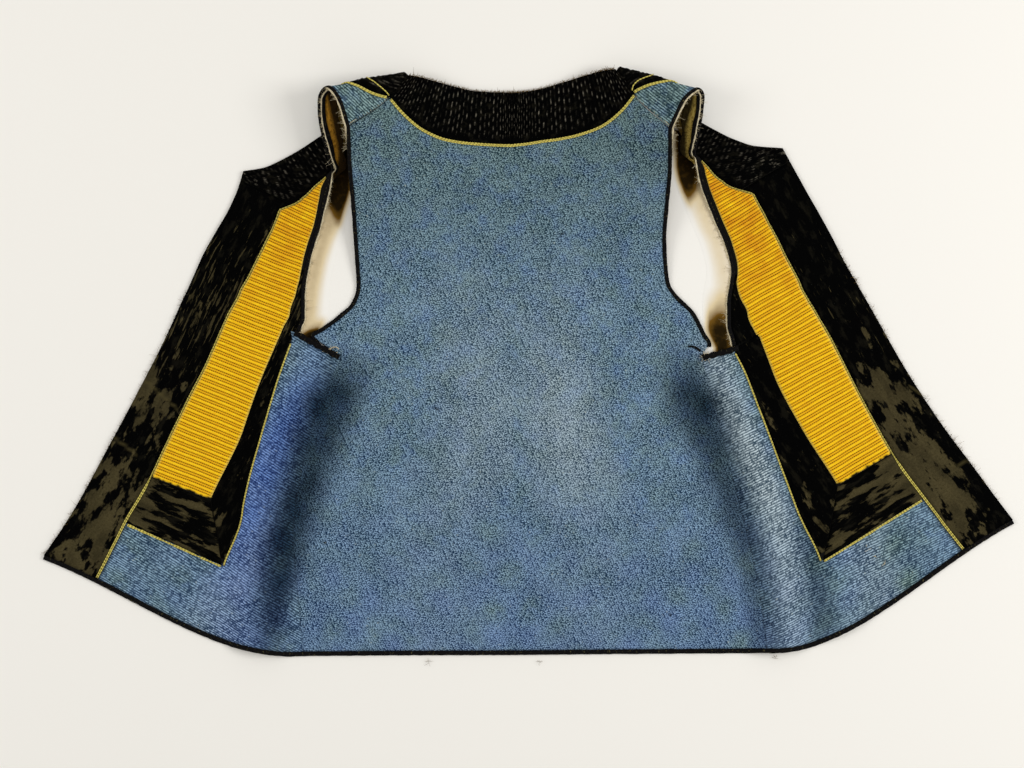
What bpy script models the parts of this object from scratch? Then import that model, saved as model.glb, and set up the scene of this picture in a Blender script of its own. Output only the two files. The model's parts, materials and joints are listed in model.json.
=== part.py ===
"""A sleeveless folk waistcoat of blue twill, laid open on a table with its outside up.

The back lies in the middle. Each front swings out from its side seam, and its strap doubles back over the
shoulder in an open fold. Every cloth is a wall made from a surface of sections, and what is sewn on a panel
is made from that panel's own points, moved out. Lengths are in millimetres until the meshes are written.
Each half is worked out with x measured outwards from the middle of the back, and y towards the neck.
"""

import bpy
import numpy as np

# Cloth thicknesses and clearances
WOOL = 1.4
VELVET = 1.0
LINING = 1.0
GAP = 0.3
OVER = WOOL + GAP

# Trims
BINDING_WIDE = 2.6
BINDING_THICK = 2.2
CREAM_REACH = (3 * GAP + BINDING_WIDE, 3 * GAP + BINDING_WIDE + 1.1)
CREAM_LIFT = (0.5, 1.4)
EDGE_INSET = 0.6
LEAST_SPACING = 1.2
HEM_WIDE = 3.2
CORD_RADIUS = 0.75
BRAID_RADIUS = 0.6
ROLL_RADIUS = 2.0
CORD_SIDES = 6

# Raised work
RIB_PITCH = 4.95
RIB_HEIGHT = 0.9
GATHERS_BACK = 68
GATHERS_FRONT = 24
GATHER_HEIGHT = 0.7

# The camera stood this far above the table, so raised parts were seen pushed out from the middle
VIEW_HEIGHT = 1600.0

# Middle of the finished bounding box, taken off so that the origin is under it
MIDDLE_X = 13.34
MIDDLE_Y = 17.22

# Sections of a front from the hem to the shoulder seam. Each joins the side or armhole edge to the front or
# neck edge. Bow is how far the section swells from straight, and peak is where along it that is greatest.
SECTION_COLUMNS = "side_x side_y edge_x edge_y bow_x bow_y peak"
SECTIONS = {
    "left": (
        (167.2, -217.6, 376.0, -140.0, 0.0, -14.0, 0.33),
        (171.2, -172.8, 347.2, -94.4, 0.0, 0.0, 0.33),
        (175.2, -117.6, 328.0, -59.2, 0.0, 0.0, 0.33),
        (165.6, -56.8, 297.6, -2.4, 0.0, 0.0, 0.33),
        (153.6, -16.8, 279.2, 33.6, 0.0, 0.0, 0.33),
        (136.8, 21.6, 263.2, 68.8, 0.0, 0.0, 0.33),
        (172.0, 40.8, 260.0, 75.2, 0.0, 0.0, 0.33),
        (165.6, 52.8, 254.4, 88.0, 0.0, 0.0, 0.33),
        (165.6, 71.2, 247.2, 104.0, 0.0, 0.0, 0.33),
        (162.4, 93.6, 236.4, 123.2, 0.0, 0.0, 0.33),
        (158.4, 109.6, 228.0, 137.6, 0.0, 0.0, 0.33),
        (153.6, 124.0, 220.0, 155.2, 0.0, 0.0, 0.33),
        (149.6, 140.8, 215.2, 170.4, 0.0, 0.0, 0.33),
        (146.4, 152.8, 200.0, 172.8, 0.0, 0.0, 0.33),
        (144.8, 162.4, 176.0, 184.0, -3.0, 0.0, 0.33),
        (145.6, 169.6, 153.6, 198.4, -10.0, 0.0, 0.33),
        (146.8, 174.4, 133.6, 212.0, -8.0, 0.0, 0.33),
        (148.0, 179.2, 113.6, 226.4, -6.0, 0.0, 0.33),
        (149.6, 187.2, 97.6, 236.8, -4.0, 0.0, 0.33),
        (152.0, 196.8, 89.6, 242.0, -2.0, 0.0, 0.33),
        (154.4, 209.6, 86.4, 244.0, 0.0, 0.0, 0.33),
        (155.2, 219.2, 85.2, 245.2, 0.0, 0.0, 0.33),
        (155.2, 227.2, 84.4, 246.0, 0.0, 0.0, 0.33),
        (152.8, 233.6, 84.0, 246.4, 0.0, 0.0, 0.4),
        (148.4, 236.4, 83.6, 246.7, 0.0, 0.0, 0.5),
        (143.6, 232.8, 83.4, 246.9, 0.0, -0.5, 0.6),
        (139.2, 224.8, 83.2, 247.0, 0.0, -1.5, 0.6),
        (136.0, 215.2, 83.0, 247.1, 0.0, -3.0, 0.6),
        (132.8, 204.8, 82.8, 247.2, 0.0, -5.0, 0.6),
    ),
    "right": (
        (204.0, -215.2, 402.4, -111.2, 0.0, -17.0, 0.33),
        (199.2, -172.8, 369.6, -66.4, 0.0, 0.0, 0.33),
        (188.8, -123.2, 344.0, -32.0, 0.0, 0.0, 0.33),
        (175.2, -70.4, 315.2, 12.0, 0.0, 0.0, 0.33),
        (161.6, -14.4, 292.0, 52.8, 0.0, 0.0, 0.33),
        (151.2, 21.6, 276.0, 80.8, 0.0, -7.0, 0.25),
        (179.2, 28.8, 272.8, 86.4, 0.0, 0.0, 0.33),
        (172.0, 46.4, 265.6, 99.2, 0.0, 0.0, 0.33),
        (172.0, 64.8, 258.4, 113.6, 0.0, 0.0, 0.33),
        (175.2, 89.6, 248.0, 132.8, 0.0, 0.0, 0.33),
        (171.2, 108.8, 238.4, 149.6, 0.0, 0.0, 0.33),
        (163.2, 128.0, 228.0, 168.4, 0.0, 0.0, 0.33),
        (152.8, 153.6, 216.8, 188.8, 0.0, 0.0, 0.33),
        (148.8, 168.0, 195.2, 190.4, 0.0, 0.0, 0.33),
        (148.0, 175.2, 177.6, 196.0, -3.0, 0.0, 0.33),
        (148.4, 181.6, 158.4, 205.6, -10.0, 0.0, 0.33),
        (149.2, 187.2, 133.6, 220.0, -8.0, 0.0, 0.33),
        (149.6, 192.8, 113.6, 232.8, -6.0, 0.0, 0.33),
        (150.4, 199.2, 97.6, 242.4, -4.0, 0.0, 0.33),
        (151.2, 206.4, 89.6, 247.2, -2.0, 0.0, 0.33),
        (152.4, 214.4, 86.4, 248.8, 0.0, 0.0, 0.33),
        (153.2, 221.6, 85.2, 249.6, 0.0, 0.0, 0.33),
        (153.6, 228.0, 84.4, 250.4, 0.0, 0.0, 0.33),
        (153.2, 231.6, 84.0, 250.8, 0.0, 0.0, 0.4),
        (150.0, 234.8, 83.6, 251.0, 0.0, 0.0, 0.5),
        (144.8, 232.0, 83.4, 251.2, 0.0, -0.5, 0.6),
        (139.2, 226.4, 83.3, 251.4, 0.0, -1.5, 0.6),
        (133.6, 215.2, 83.2, 251.6, 0.0, -3.0, 0.6),
        (128.0, 203.2, 83.2, 252.0, 0.0, -5.0, 0.6),
    ),
}

# Heights of the same sections above the table, the same on both sides: at the armhole edge, at the neck
# edge, and the power that shapes the fall between them. Sections before the first row lie flat.
LIFT_COLUMNS = "section side_z edge_z power"
LIFTS = (
    (10, 0.0, 0.0, 2.0),
    (11, 0.5, 0.0, 2.0),
    (12, 2.0, 0.0, 2.0),
    (13, 5.0, 0.0, 2.0),
    (14, 9.0, 0.0, 2.0),
    (15, 12.0, 0.0, 2.0),
    (16, 15.0, 0.0, 2.0),
    (17, 17.0, 0.5, 2.0),
    (18, 19.0, 2.0, 1.8),
    (19, 20.0, 4.0, 1.5),
    (20, 21.0, 6.0, 1.3),
    (21, 22.0, 7.0, 1.2),
    (22, 24.0, 7.8, 1.2),
    (23, 27.5, 8.4, 1.25),
    (24, 31.5, 9.0, 1.3),
    (25, 34.5, 9.3, 1.4),
    (26, 36.0, 9.6, 1.45),
    (27, 36.5, 9.8, 1.45),
    (28, 36.5, 9.9, 1.45),
)

# Where the seams cross each section, as shares of its length from the side or armhole edge
SEAM_COLUMNS = "inner_line panel_inner panel_outer"
SEAMS = {
    "left": (
        (0.364, 0.550, 0.797),
        (0.341, 0.490, 0.786),
        (0.262, 0.429, 0.743),
        (0.267, 0.370, 0.727),
        (0.287, 0.376, 0.713),
        (0.310, 0.367, 0.715),
        (0.060, 0.120, 0.590),
        (0.050, 0.130, 0.585),
        (0.040, 0.080, 0.534),
        (0.040, 0.052, 0.500),
        (0.040, 0.054, 0.483),
        (0.040, 0.066, 0.446),
        (0.040, 0.078, 0.305),
        (0.060, 0.110, 0.250),
        (0.080, 0.140, 0.180),
    ),
    "right": (
        (0.286, 0.500, 0.802),
        (0.286, 0.480, 0.765),
        (0.255, 0.459, 0.742),
        (0.246, 0.406, 0.737),
        (0.221, 0.356, 0.724),
        (0.212, 0.340, 0.712),
        (0.060, 0.171, 0.628),
        (0.050, 0.171, 0.624),
        (0.040, 0.110, 0.593),
        (0.036, 0.048, 0.530),
        (0.036, 0.048, 0.500),
        (0.036, 0.050, 0.475),
        (0.040, 0.056, 0.290),
        (0.060, 0.090, 0.190),
        (0.080, 0.110, 0.150),
    ),
}

# Past the panel's tip the third seam is the neckband's, which runs up over the strap to the shoulder seam
YOKE_COLUMNS = "section band_foot"
YOKE = (
    (14, 0.16),
    (18, 0.20),
    (22, 0.27),
    (23, 0.33),
    (24, 0.45),
    (26, 0.57),
    (28, 0.67),
)

# Sections that carry a named line
VELVET_FOOT = 1
PANEL_FOOT = 2
SLIT_FOOT = 5
SLIT_TIP = 6
NECK_CORNER = 12
PANEL_TIP = 14
STRIP_TOP = 8.8
FOLD_UNDER = 15
FOLD_TOP = 24
SEAM_TOP = 28

# Rows and marks at which the cloths' points stand. Whole marks on a front are its seams.
FRONT_ROWS = (
    *(0.0, 0.5, 1.0, 1.5, 2.0, 2.5, 3.0, 3.5, 4.0, 4.5, 5.0, 5.5, 6.0, 6.5, 7.0, 8.0, 9.0, 10.0, 11.0, 12.0),
    *(12.5, 13.0, 13.5, 14.0, 14.5, 15.0, 15.5, 16.0, 16.5, 17.0, 17.5, 18.0, 18.5, 19.0, 20.0, 21.0, 22.0),
    *(22.5, 23.0, 23.5, 24.0, 24.5, 25.0, 25.5, 26.0, 27.0, 27.98),
)
FRONT_MARKS = (0.0, 0.25, 0.5, 0.75, 1.0, 1.5, 2.0, 2.33, 2.67, 3.0, 3.5, 4.0)
BACK_ROWS = (
    *(0.0, 0.5, 1.0, 1.5, 2.0, 2.5, 3.0, 3.5, 4.0, 4.5, 5.0, 5.5, 6.0, 6.5, 7.0, 7.5, 8.0, 8.5, 9.0, 9.5),
    *(10.0, 10.5, 11.0, 11.5, 12.0, 12.5, 12.985),
)
BACK_MARKS = (0.0, 0.06, 0.12, 0.18, 0.25, 0.32, 0.4, 0.5, 0.6, 0.7, 0.8, 0.9, 1.0)
LINING_MARKS = (1.0, 2.0, 2.33, 2.67, 3.0)
FINE_COLUMNS = (0, 0.25, 0.5, 0.75, 1)
FOOT_COLUMNS = (0, 0.125, 0.25, 0.375, 0.5, 0.625, 0.75, 0.875, 1)
STRIP_INSET = 0.6
NECK_SHARE = 0.4
SWELL_SHARPNESS = 3
BAND_TOP = 11.5
SEAM_STEP = 0.012
SHOULDER_SHIFT = 1.6
CREAM_FOOT = 11.4
BRAID_MARKS = (0.45, 0.2)

# Back: the side seam shares the front's first six sections, and these go on from the open seam's tip up the
# armhole to the shoulder seam. Middle is the section's height on the line down the middle of the back.
BACK_COLUMNS = "side_x side_y neck_x neck_y middle_y"
BACK = {
    "left": (
        (167.2, -217.6, 83.0, -217.0, -216.8),
        (171.2, -172.8, 83.0, -171.5, -171.2),
        (175.2, -117.6, 83.0, -117.0, -116.8),
        (165.6, -56.8, 84.0, -56.8, -56.8),
        (153.6, -16.8, 84.0, -17.0, -17.0),
        (136.8, 21.6, 84.0, 18.0, 16.0),
        (160.8, 38.4, 84.0, 30.0, 26.0),
        (140.0, 53.6, 84.0, 44.0, 40.0),
        (128.8, 64.8, 84.0, 58.0, 54.0),
        (124.8, 79.2, 85.0, 76.0, 72.0),
        (127.2, 115.2, 86.0, 116.0, 108.0),
        (129.6, 147.2, 87.0, 158.0, 146.0),
        (132.0, 176.8, 86.0, 204.0, 188.0),
        (132.8, 204.8, 82.8, 247.2, 233.2),
    ),
    "right": (
        (204.0, -215.2, 83.0, -216.0, -216.8),
        (199.2, -172.8, 83.0, -171.5, -171.2),
        (188.8, -123.2, 83.0, -119.0, -116.8),
        (175.2, -70.4, 84.0, -60.0, -56.8),
        (161.6, -14.4, 84.0, -16.0, -17.0),
        (151.2, 21.6, 84.0, 18.0, 16.0),
        (158.4, 32.8, 84.0, 30.0, 26.0),
        (146.4, 56.8, 84.0, 44.0, 40.0),
        (133.6, 69.6, 84.0, 58.0, 54.0),
        (126.4, 81.6, 85.0, 76.0, 72.0),
        (124.0, 115.2, 86.0, 116.0, 108.0),
        (126.4, 147.2, 87.0, 158.0, 146.0),
        (128.0, 171.2, 86.0, 206.0, 188.0),
        (128.0, 203.2, 83.2, 252.0, 233.2),
    ),
}
BACK_TOP = 13

# Height of the back's armhole edge above the table against y, the line of that edge, and how far in it fades
EDGE_LIFT_COLUMNS = "y edge_x height"
EDGE_LIFT = {
    "left": (
        (79.0, 124.8, 0.0),
        (115.0, 127.2, 5.0),
        (147.0, 129.6, 14.0),
        (177.0, 132.0, 27.0),
        (205.0, 133.5, 36.5),
        (236.0, 140.0, 36.5),
        (260.0, 140.0, 36.5),
    ),
    "right": (
        (79.0, 126.4, 0.0),
        (115.0, 124.0, 5.0),
        (147.0, 126.4, 14.0),
        (177.0, 128.0, 27.0),
        (205.0, 129.0, 36.5),
        (236.0, 140.0, 36.5),
        (260.0, 140.0, 36.5),
    ),
}
LIFT_REACH = 120.0

# Soft ridges that run down by the side seams: where each is centred, its height and its half width
RIDGE_COLUMNS = "y centre_x height half"
RIDGES = {
    "left": (
        (
            (40.0, 146.0, 0.0, 34.0),
            (3.0, 152.0, 4.0, 34.0),
            (-53.0, 177.6, 7.5, 32.0),
            (-141.0, 200.0, 9.0, 28.0),
            (-193.0, 203.2, 8.0, 27.0),
            (-240.0, 204.0, 7.5, 27.0),
        ),
    ),
    "right": (
        (
            (35.0, 150.0, 0.0, 32.0),
            (-1.0, 157.0, 4.0, 32.0),
            (-70.0, 183.2, 7.5, 30.0),
            (-125.0, 200.8, 8.5, 27.0),
            (-165.0, 208.4, 8.0, 26.0),
            (-240.0, 214.0, 7.5, 26.0),
        ),
        (
            (-70.0, 240.0, 0.0, 24.0),
            (-125.0, 252.0, 2.2, 26.0),
            (-165.0, 262.0, 3.4, 28.0),
            (-240.0, 272.0, 3.4, 28.0),
        ),
    ),
}

# The back neckband, from the shoulder seam to the middle: its seam with the blue, and the neck edge
NECK_COLUMNS = "seam_x seam_y edge_x edge_y"
NECK = {
    "left": (
        (99.2, 228.8, 82.8, 247.2),
        (88.0, 216.0, 74.0, 245.6),
        (73.6, 204.0, 62.0, 242.4),
        (53.6, 195.2, 46.0, 238.0),
        (32.8, 192.0, 29.0, 234.4),
        (11.2, 190.6, 10.0, 233.4),
        (0.0, 190.4, 0.0, 233.2),
    ),
    "right": (
        (100.0, 232.0, 83.2, 252.0),
        (87.2, 216.8, 75.0, 251.2),
        (70.4, 204.8, 60.0, 247.2),
        (44.8, 196.8, 41.0, 241.4),
        (24.0, 193.6, 22.0, 236.0),
        (9.0, 191.4, 8.5, 233.8),
        (0.0, 190.4, 0.0, 233.2),
    ),
}

# Colours as the photo shows them, with roughness
MATERIALS = {
    "blue_wool": ("#4a6f93", 0.95),
    "black_velvet": ("#15130f", 0.9),
    "yellow_silk": ("#f0b014", 0.55),
    "yellow_braid": ("#d9c23a", 0.7),
    "black_binding": ("#14131c", 0.85),
    "cream_linen": ("#efe3c4", 0.9),
    "tan_lining": ("#c8a13a", 0.9),
}


def curve(knots, values, at):
    """A smooth curve through the knots that never swings past them."""
    knots = np.asarray(knots, float)
    values = np.asarray(values, float)
    at = np.clip(np.asarray(at, float), knots[0], knots[-1])
    step = np.diff(knots)
    slope = np.diff(values) / step
    tangent = np.zeros(len(knots))
    tangent[0] = slope[0]
    tangent[-1] = slope[-1]
    for i in range(1, len(knots) - 1):
        if slope[i - 1] * slope[i] > 0:
            first = 2 * step[i] + step[i - 1]
            second = step[i] + 2 * step[i - 1]
            tangent[i] = (first + second) / (first / slope[i - 1] + second / slope[i])
    i = np.clip(np.searchsorted(knots, at, side="right") - 1, 0, len(step) - 1)
    t = (at - knots[i]) / step[i]
    return (
        values[i] * (1 + 2 * t) * (1 - t) ** 2
        + step[i] * tangent[i] * t * (1 - t) ** 2
        + values[i + 1] * t * t * (3 - 2 * t)
        + step[i] * tangent[i + 1] * t * t * (t - 1)
    )


def cornered(values, at, corners):
    """Smooth curves through values at 0, 1, 2 and so on, with a sharp turn allowed at each corner."""
    at = np.clip(at, 0, len(values) - 1)
    ends = [0, *corners, len(values) - 1]
    result = np.zeros(np.shape(at))
    for first, last in zip(ends, ends[1:]):
        part = curve(np.arange(first, last + 1), values[first : last + 1], at)
        result = np.where((at >= first) & (at <= last), part, result)
    return result


def columns_of(table, columns, at, corners):
    """The named columns of a table of sections, read at any section number."""
    rows = np.array(table)
    return {name: cornered(rows[:, i], at, corners) for i, name in enumerate(columns.split())}


def column(table, columns, name, at, knots):
    """One named column of a table, read smoothly against another of its columns."""
    rows = np.array(table)
    names = columns.split()
    return curve(rows[:, names.index(knots)], rows[:, names.index(name)], at)


def swell(share, peak):
    """A soft swelling along a section, 0 at both ends and 1 at its peak."""
    share = np.clip(share, 0, 1)
    return ((share / peak) ** peak * ((1 - share) / (1 - peak)) ** (1 - peak)) ** SWELL_SHARPNESS


def ridge_height(side, x, y):
    """Height of the soft ridges by the side seam at a place on the table."""
    total = np.zeros(np.shape(x))
    for rows in RIDGES[side]:
        table = rows[::-1]
        centre = column(table, RIDGE_COLUMNS, "centre_x", y, "y")
        height = column(table, RIDGE_COLUMNS, "height", y, "y")
        half = column(table, RIDGE_COLUMNS, "half", y, "y")
        total = total + height * np.clip(1 - ((x - centre) / half) ** 2, 0, 1) ** 2
    return total


def shoulder_height(side, x, y):
    """Height of the back and the yoke, which rise to the armhole edge at the strap."""
    edge = column(EDGE_LIFT[side], EDGE_LIFT_COLUMNS, "edge_x", y, "y")
    height = column(EDGE_LIFT[side], EDGE_LIFT_COLUMNS, "height", y, "y")
    return height * np.clip(1 - (edge - x) / LIFT_REACH, 0, 1.0) ** 2


def seen_from_above(x, y, z):
    """Points of a half, with raised ones drawn in towards the middle to where they really stand."""
    shrink = 1 - z / VIEW_HEIGHT
    return np.stack([x * shrink, y * shrink, z], axis=-1)


def front_point(side, u, share):
    """A point on the inner face of a front, at section u and a share of that section."""
    u, share = np.broadcast_arrays(np.asarray(u, float), np.asarray(share, float))
    row = columns_of(SECTIONS[side], SECTION_COLUMNS, u, (SLIT_FOOT, SLIT_TIP, NECK_CORNER))
    bulge = swell(share, row["peak"])
    x = row["side_x"] + (row["edge_x"] - row["side_x"]) * share + row["bow_x"] * bulge
    y = row["side_y"] + (row["edge_y"] - row["side_y"]) * share + row["bow_y"] * bulge
    side_z = column(LIFTS, LIFT_COLUMNS, "side_z", u, "section")
    edge_z = column(LIFTS, LIFT_COLUMNS, "edge_z", u, "section")
    power = column(LIFTS, LIFT_COLUMNS, "power", u, "section")
    strap = edge_z + (side_z - edge_z) * np.clip(1 - share, 0, 1) ** power
    blend = np.clip((u - FOLD_TOP) / (SEAM_TOP - FOLD_TOP), 0, 1)
    blend = blend * blend * (3 - 2 * blend)
    z = strap * (1 - blend) + shoulder_height(side, x, y) * blend + ridge_height(side, x, y)
    return seen_from_above(x, y, z)


def back_point(side, u, share):
    """A point on the back's inner face: from the side edge (0) to the neck line (NECK_SHARE) to the middle (1)."""
    u, share = np.broadcast_arrays(np.asarray(u, float), np.asarray(share, float))
    row = columns_of(BACK[side], BACK_COLUMNS, u, (SLIT_FOOT, SLIT_TIP))
    outer = np.clip(share / NECK_SHARE, 0, 1)
    inner = np.clip((share - NECK_SHARE) / (1 - NECK_SHARE), 0, 1)
    top = dict(zip(SECTION_COLUMNS.split(), SECTIONS[side][-1]))
    bend = np.clip(u - BACK_TOP + 1, 0, 1) * top["bow_y"] * swell(outer, top["peak"])
    beside = row["side_x"] + (row["neck_x"] - row["side_x"]) * outer
    x = np.where(share < NECK_SHARE, beside, row["neck_x"] * (1 - inner))
    along = row["side_y"] + (row["neck_y"] - row["side_y"]) * outer + bend
    neck = np.array(NECK[side])[::-1]
    chord = neck[-1, 3] + (neck[0, 3] - neck[-1, 3]) * inner
    dip = (curve(neck[:, 2], neck[:, 3], x) - chord) * np.clip((u - 9) / 4, 0, 1) ** 1.5
    straight = row["neck_y"] + (row["middle_y"] - row["neck_y"]) * inner
    y = np.where(share < NECK_SHARE, along, straight + dip)
    return seen_from_above(x, y, shoulder_height(side, x, y) + ridge_height(side, x, y))


def unit(vectors):
    return vectors / np.maximum(np.linalg.norm(vectors, axis=-1, keepdims=True), 1e-9)


def slopes(surface, side, u, share):
    """How the surface runs with a growing section number and a growing share."""
    step = 0.01
    along = surface(side, u + step, share) - surface(side, u - step, share)
    across = surface(side, u, np.clip(share + step, 0, 1)) - surface(side, u, np.clip(share - step, 0, 1))
    return along / (2 * step), across / (2 * step)


def hem_start(surface, side, share):
    """Section number at which the cloth starts, above the hem binding."""
    along, across = slopes(surface, side, np.full(np.shape(share), 0.02), np.asarray(share, float))
    square = np.linalg.norm(np.cross(along, unit(across)), axis=-1)
    return (HEM_WIDE + GAP) / square


class Grid:
    """A cloth's inner face as rows of points, with the outward normal at each."""

    def __init__(self, surface, side, rows, marks, share_at, turn):
        self.side = side
        self.rows = np.asarray(rows, float)
        self.marks = np.asarray(marks, float)
        u, mark = np.meshgrid(self.rows, self.marks, indexing="ij")
        share = share_at(u, mark)
        u = u.copy()
        u[0] = hem_start(surface, side, share[0])
        self.points = surface(side, u, share)
        along, across = slopes(surface, side, u, share)
        self.normals = unit(np.cross(across, along)) * turn
        flat = np.abs(self.points[..., 2]) < 1e-6
        self.normals[flat] = (0.0, 0.0, 1.0)

    def at(self, u, mark):
        """Point and normal at any row number and mark, on the very triangles that the cloth is made of."""
        u, mark = np.broadcast_arrays(np.asarray(u, float), np.asarray(mark, float))
        i = np.clip(np.searchsorted(self.rows, u, side="right") - 1, 0, len(self.rows) - 2)
        j = np.clip(np.searchsorted(self.marks, mark, side="right") - 1, 0, len(self.marks) - 2)
        s = ((u - self.rows[i]) / (self.rows[i + 1] - self.rows[i]))[..., None]
        t = ((mark - self.marks[j]) / (self.marks[j + 1] - self.marks[j]))[..., None]
        found = []
        for values in (self.points, self.normals):
            a, b, c, d = values[i, j], values[i + 1, j], values[i + 1, j + 1], values[i, j + 1]
            found.append(np.where(s >= t, a + s * (b - a) + t * (c - b), a + t * (d - a) + s * (c - d)))
        return found[0], unit(found[1])

    def mark_step(self, u, mark, distance):
        """A distance in millimetres square to a line of marks, as a step in marks."""
        reach = 0.02
        across = (self.at(u, np.asarray(mark) + reach)[0] - self.at(u, np.asarray(mark) - reach)[0]) / (2 * reach)
        along = unit(self.at(u + reach, mark)[0] - self.at(u - reach, mark)[0])
        slant = np.sum(across * along, axis=-1, keepdims=True)
        return distance / np.linalg.norm(across - slant * along, axis=-1)

    def edge(self, rows):
        """First column at some rows: points, normals and the directions away from the cloth."""
        points, normals = self.at(rows, np.full(len(rows), self.marks[0]))
        inner, _ = self.at(rows, np.full(len(rows), self.marks[1]))
        return points, normals, outwards(points, normals, inner - points)

    def hem(self, marks):
        """First row at some marks, in the same way."""
        points, normals = self.at(np.full(len(marks), self.rows[0]), marks)
        inner, _ = self.at(np.full(len(marks), self.rows[1]), marks)
        return points, normals, outwards(points, normals, inner - points)

    def height(self, x, y):
        """Height of this cloth's triangles above places on the table."""
        flat = self.points.reshape(-1, 3)
        over, _ = lattice(*self.points.shape[:2])
        a, b, c = (flat[over[:, k]] for k in range(3))
        result = np.zeros(len(x))
        for k, (px, py) in enumerate(zip(x, y)):
            area = (b[:, 0] - a[:, 0]) * (c[:, 1] - a[:, 1]) - (c[:, 0] - a[:, 0]) * (b[:, 1] - a[:, 1])
            area = np.where(np.abs(area) < 1e-9, 1e-9, area)
            s = ((px - a[:, 0]) * (c[:, 1] - a[:, 1]) - (c[:, 0] - a[:, 0]) * (py - a[:, 1])) / area
            t = ((b[:, 0] - a[:, 0]) * (py - a[:, 1]) - (px - a[:, 0]) * (b[:, 1] - a[:, 1])) / area
            best = np.argmax(np.minimum(np.minimum(s, t), 1 - s - t))
            result[k] = a[best, 2] + s[best] * (b[best, 2] - a[best, 2]) + t[best] * (c[best, 2] - a[best, 2])
        return result


def outwards(points, normals, inward):
    """Unit directions square to an edge that lead away from the cloth."""
    across = unit(np.cross(np.gradient(points, axis=0), normals))
    return across * -np.sign(np.einsum("ij,ij->i", across, inward))[:, None]


def lattice(rows, columns):
    """Triangles between the points of a grid, and the points round its rim in order."""
    index = np.arange(rows * columns).reshape(rows, columns)
    a, b = index[:-1, :-1].ravel(), index[1:, :-1].ravel()
    c, d = index[1:, 1:].ravel(), index[:-1, 1:].ravel()
    rim = np.concatenate([index[0, :-1], index[:-1, -1], index[-1, :0:-1], index[:0:-1, 0]])
    return np.concatenate([np.stack([a, b, c], 1), np.stack([a, c, d], 1)]), rim


def front_shares(side, u, mark):
    """Shares along a front's sections at whole marks (the seams) and between them."""
    rows = np.array(SEAMS[side])
    seams = [cornered(rows[:, k], u, (SLIT_FOOT, SLIT_TIP)) for k in range(3)]
    seams[2] = np.where(u > PANEL_TIP, column(YOKE, YOKE_COLUMNS, "band_foot", u, "section"), seams[2])
    length = np.linalg.norm(front_point(side, u, 1.0) - front_point(side, u, 0.0), axis=-1)
    along, across = slopes(front_point, side, u, np.full(np.shape(u), 0.02))
    slant = np.maximum(np.linalg.norm(np.cross(unit(along), unit(across)), axis=-1), 0.45)
    bound = np.clip((u - SLIT_TIP) * 2, 0, 1)
    start = (GAP / 2 + bound * (BINDING_WIDE + GAP / 2) / slant) / length
    end = 1 - EDGE_INSET / length
    seams[0] = np.maximum(seams[0], start + LEAST_SPACING / length)
    seams[1] = np.maximum(seams[1], seams[0] + LEAST_SPACING / length)
    knots = [start, *seams, end]
    share = np.zeros(np.shape(u))
    for k in range(4):
        part = knots[k] + (knots[k + 1] - knots[k]) * (mark - k)
        share = np.where((mark >= k) & (mark <= k + 1), part, share)
    return share


def back_shares(side, u, mark):
    """Shares across half of the back, past the seam gap or the armhole binding at the side."""
    bound = np.clip((u - SLIT_TIP) * 2 + 0.5, 0, 1)
    width = np.linalg.norm(back_point(side, u, NECK_SHARE) - back_point(side, u, 0.0), axis=-1)
    start = NECK_SHARE * (GAP / 2 + bound * (BINDING_WIDE + GAP / 2) * 1.15) / width
    return np.maximum(start + (NECK_SHARE - start) * mark / NECK_SHARE, mark)


def world(side, points):
    """Half coordinates to the table's: the left half is turned over the middle line."""
    flip = -1.0 if side == "left" else 1.0
    return np.asarray(points) * np.array([flip, 1.0, 1.0])


def colour(text):
    """Linear colour of a hex code."""
    parts = [int(text[i : i + 2], 16) / 255 for i in (1, 3, 5)]
    return tuple(p / 12.92 if p <= 0.04045 else ((p + 0.055) / 1.055) ** 2.4 for p in parts) + (1.0,)


def material(name):
    made = bpy.data.materials.get(name)
    if made is None:
        shade, rough = MATERIALS[name]
        made = bpy.data.materials.new(name)
        made.use_nodes = True
        surface = made.node_tree.nodes["Principled BSDF"]
        surface.inputs["Base Color"].default_value = colour(shade)
        surface.inputs["Roughness"].default_value = rough
        surface.inputs["Metallic"].default_value = 0.0
    return made


def add_mesh(name, points, faces, slot, smooth):
    """Writes one closed mesh in metres, its faces turned outwards."""
    points = np.asarray(points, float)
    corners = points[faces]
    if np.einsum("ij,ij->i", corners[:, 0], np.cross(corners[:, 1], corners[:, 2])).sum() < 0:
        faces = faces[:, ::-1]
    points = (points - np.array([MIDDLE_X, MIDDLE_Y, 0.0])) / 1000
    mesh = bpy.data.meshes.new(name)
    mesh.from_pydata(points.tolist(), [], faces.tolist())
    mesh.polygons.foreach_set("use_smooth", [smooth] * len(faces))
    mesh.materials.append(material(slot))
    mesh.update()
    made = bpy.data.objects.new(name, mesh)
    bpy.context.scene.collection.objects.link(made)


def wall(name, outer, inner, slot, smooth=True):
    """A closed wall between two grids of points with the same layout."""
    over, rim = lattice(*outer.shape[:2])
    count = outer.shape[0] * outer.shape[1]
    ahead = np.roll(rim, -1)
    side = np.concatenate([np.stack([rim, ahead, ahead + count], 1), np.stack([rim, ahead + count, rim + count], 1)])
    faces = np.concatenate([over, over[:, ::-1] + count, side])
    add_mesh(name, np.concatenate([outer.reshape(-1, 3), inner.reshape(-1, 3)]), faces, slot, smooth)


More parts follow.
